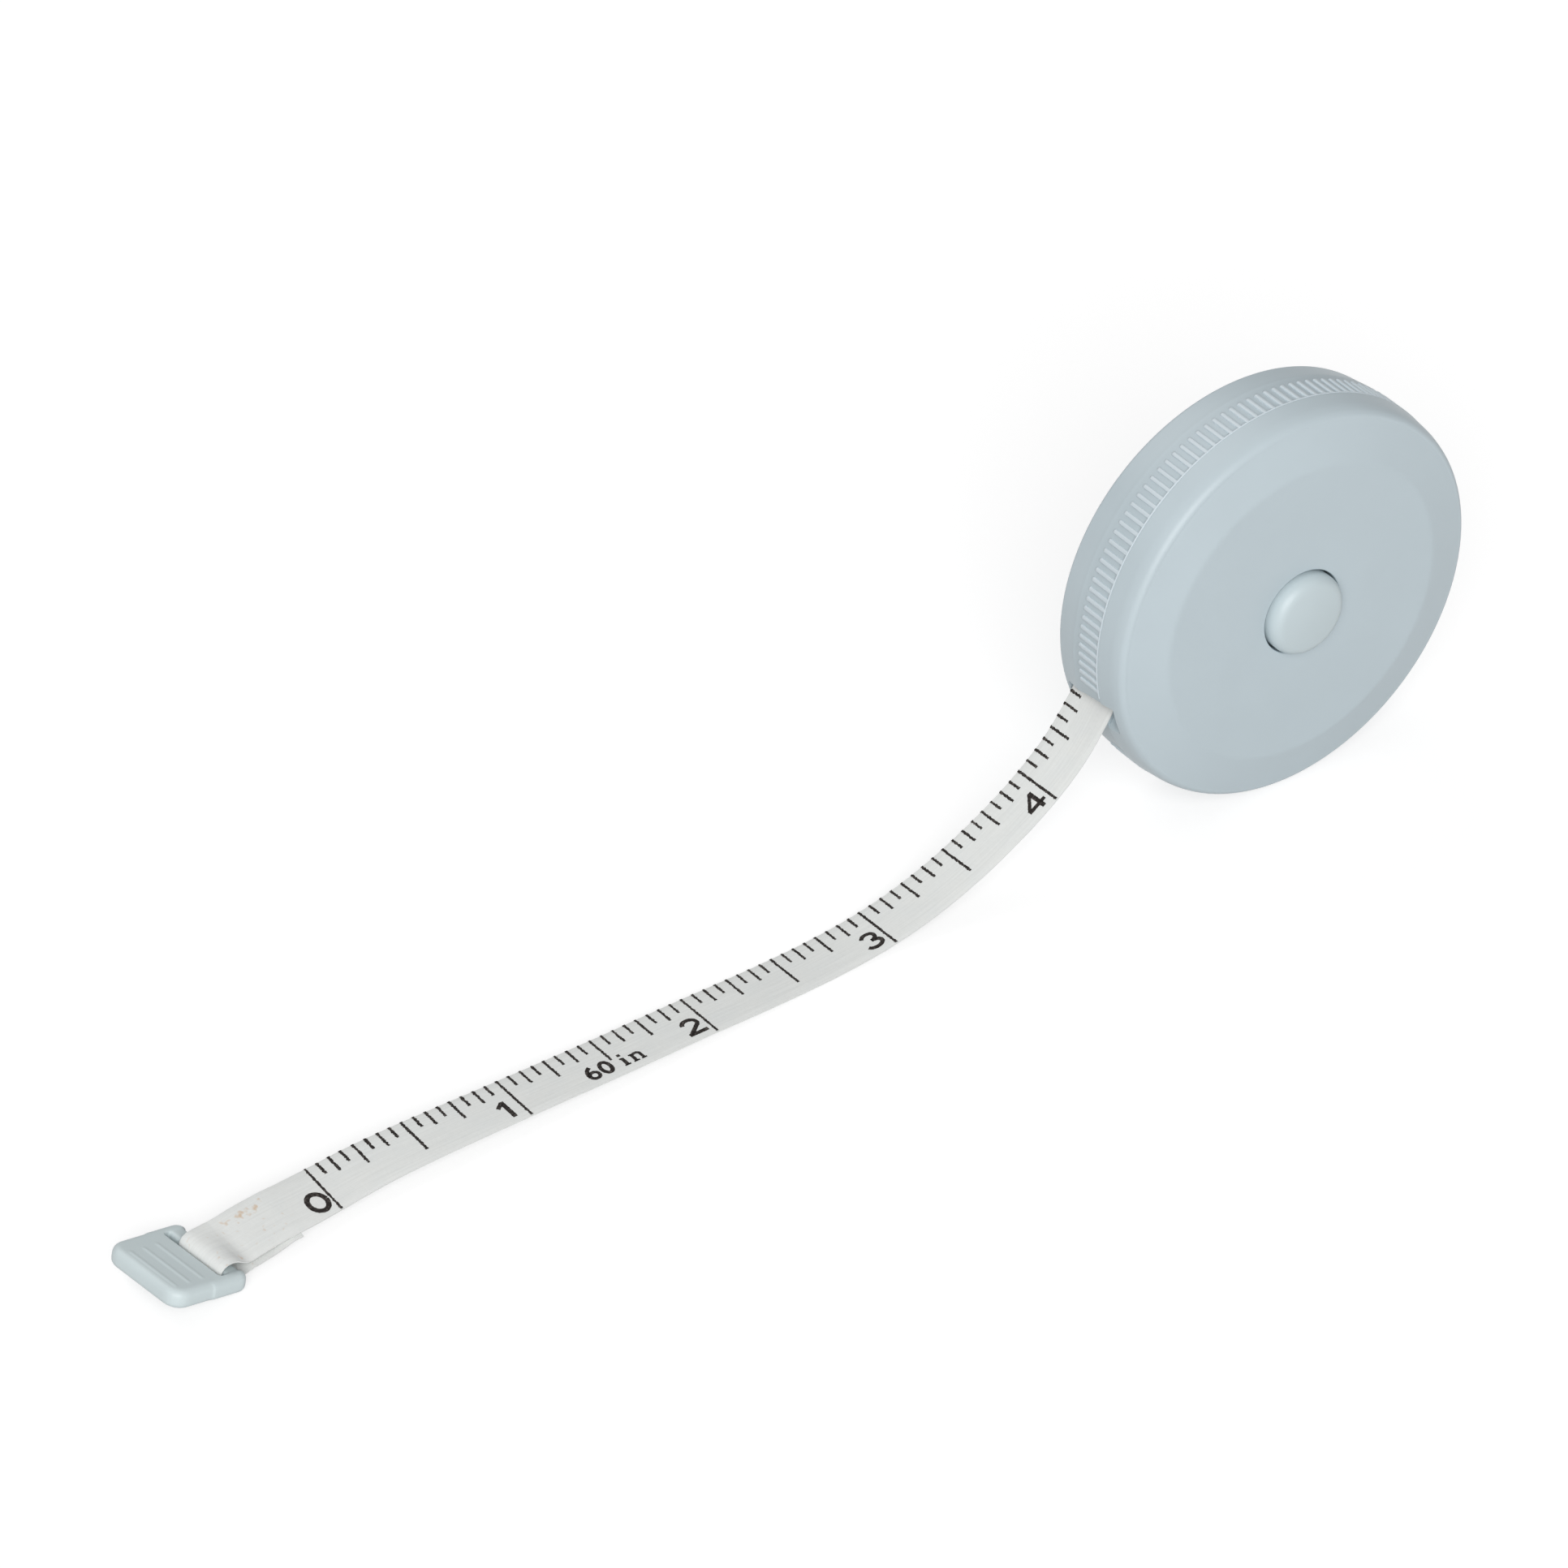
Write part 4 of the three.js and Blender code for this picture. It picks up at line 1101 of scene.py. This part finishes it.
class TAPEMEASURE_OT_works(bpy.types.Operator):
    """Finishes of the reel, springs, brake and wound tape inside the case"""
    bl_idname = "tape_measure.works"
    bl_label = "Works inside"

    def execute(self, context):
        settings = context.scene.tape_measure
        reel = finish_named(
            "Moulded acetal reel", moulded_plastic, linear("#e4e4de"), 0.4)
        rubber = finish_named("Black brake rubber", brake_rubber)
        steel = finish_named("Cold-rolled spring steel", spring_steel)
        finishes = {
            "reel_drum": reel, "reel_cover": reel, "brake_ring": rubber, "power_spring": steel}
        for node, finish in finishes.items():
            mesh = frame["nodes"][node].data
            mesh.materials.clear()
            mesh.materials.append(finish)
        self.coil(steel)
        self.winding(settings)
        return {"FINISHED"}

    def coil(self, finish):
        """The button's coil spring, as a fixed coil."""
        front, back = (corner.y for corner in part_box("button_spring"))
        wire, radius, pitch = 0.2 * MM, 1.5 * MM, 0.85 * MM
        start, end = front + wire, back - wire
        turns = (end - start) / pitch
        steps = math.ceil(turns * 32)
        rings = []
        for i in range(steps + 1):
            angle = 2 * math.pi * turns * i / steps
            out = Vector((math.cos(angle), 0, math.sin(angle)))
            middle = Vector((AXIS.x, start + (end - start) * i / steps, AXIS.z)) + out * radius
            rings.append([
                middle + out * p.x + TO_BACK * p.y for p in arc(0, 0, wire, 0, 330, 11)])
        spring = new_piece("button_coil", skin(bmesh.new(), rings), finish, sharp=60)
        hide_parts("button_spring")
        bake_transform(spring)

    def winding(self, settings):
        """The wound tape, with the edges of its turns as fine steps on both sides."""
        half = settings.tape.width / 2
        inner, outer, step = 12.0 * MM, 16.25 * MM, 0.1 * MM
        turns = 13
        pitch = (outer - inner) / turns
        near = []
        for i in range(turns):
            start, end = inner + pitch * i, inner + pitch * (i + 0.85)
            near += [Vector((start, -half)), Vector((end, -half)), Vector((end, step - half))]
        outline = near + [Vector((p.x, -p.y)) for p in reversed(near)] + near[:1]
        form = revolve(outline, 96, -1)
        cloth_map = form.loops.layers.uv.new("cloth")
        for face in form.faces:
            for loop in face.loops:
                spot = loop.vert.co - AXIS
                loop[cloth_map].uv = (outer * math.atan2(spot.z, spot.x), spot.y)
        roll = new_piece("tape_roll", form, cloth_finish(settings), sharp=30)
        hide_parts("tape_winding")
        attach(roll, "reel")


class TAPEMEASURE_OT_cord(bpy.types.Operator):
    bl_idname = "tape_measure.cord"
    bl_label = "Free tape as a cord"

    def execute(self, context):
        strip = free_tape()
        return {"FINISHED"}


class TAPEMEASURE_PT_pieces(bpy.types.Panel):
    """Buttons for the tape measure's pieces, with their sizes and colours"""
    bl_idname = "TAPEMEASURE_PT_pieces"
    bl_label = "Tape Measure"
    bl_space_type = "VIEW_3D"
    bl_region_type = "UI"
    bl_category = "Tape Measure"

    def draw(self, context):
        settings = context.scene.tape_measure
        for group in ("case", "button", "tape", "tab", "stage"):
            box = self.layout.box()
            box.label(text=group.title())
            values = getattr(settings, group)
            for name in type(values).__annotations__:
                box.prop(values, name)
        for operator in OPERATORS:
            self.layout.operator(operator.bl_idname)


SETTINGS = (
    CaseSettings, ButtonSettings, TapeSettings, TabSettings, StageSettings, TapeMeasureSettings)
OPERATORS = (
    TAPEMEASURE_OT_stage, TAPEMEASURE_OT_tape, TAPEMEASURE_OT_tape_end, TAPEMEASURE_OT_case,
    TAPEMEASURE_OT_button, TAPEMEASURE_OT_pull_tab, TAPEMEASURE_OT_works, TAPEMEASURE_OT_cord)


def register():
    for each in (*SETTINGS, *OPERATORS, TAPEMEASURE_PT_pieces):
        bpy.utils.register_class(each)
    bpy.types.Scene.tape_measure = bpy.props.PointerProperty(type=TapeMeasureSettings)


def unregister():
    del bpy.types.Scene.tape_measure
    for each in reversed((*SETTINGS, *OPERATORS, TAPEMEASURE_PT_pieces)):
        bpy.utils.unregister_class(each)


def main():
    register()
    bpy.ops.tape_measure.stage()
    bpy.ops.tape_measure.tape()
    bpy.ops.tape_measure.tape_end()
    bpy.ops.tape_measure.case()
    bpy.ops.tape_measure.button()
    bpy.ops.tape_measure.pull_tab()
    bpy.ops.tape_measure.works()
    bpy.ops.tape_measure.cord()


if __name__ == "__main__":
    main()
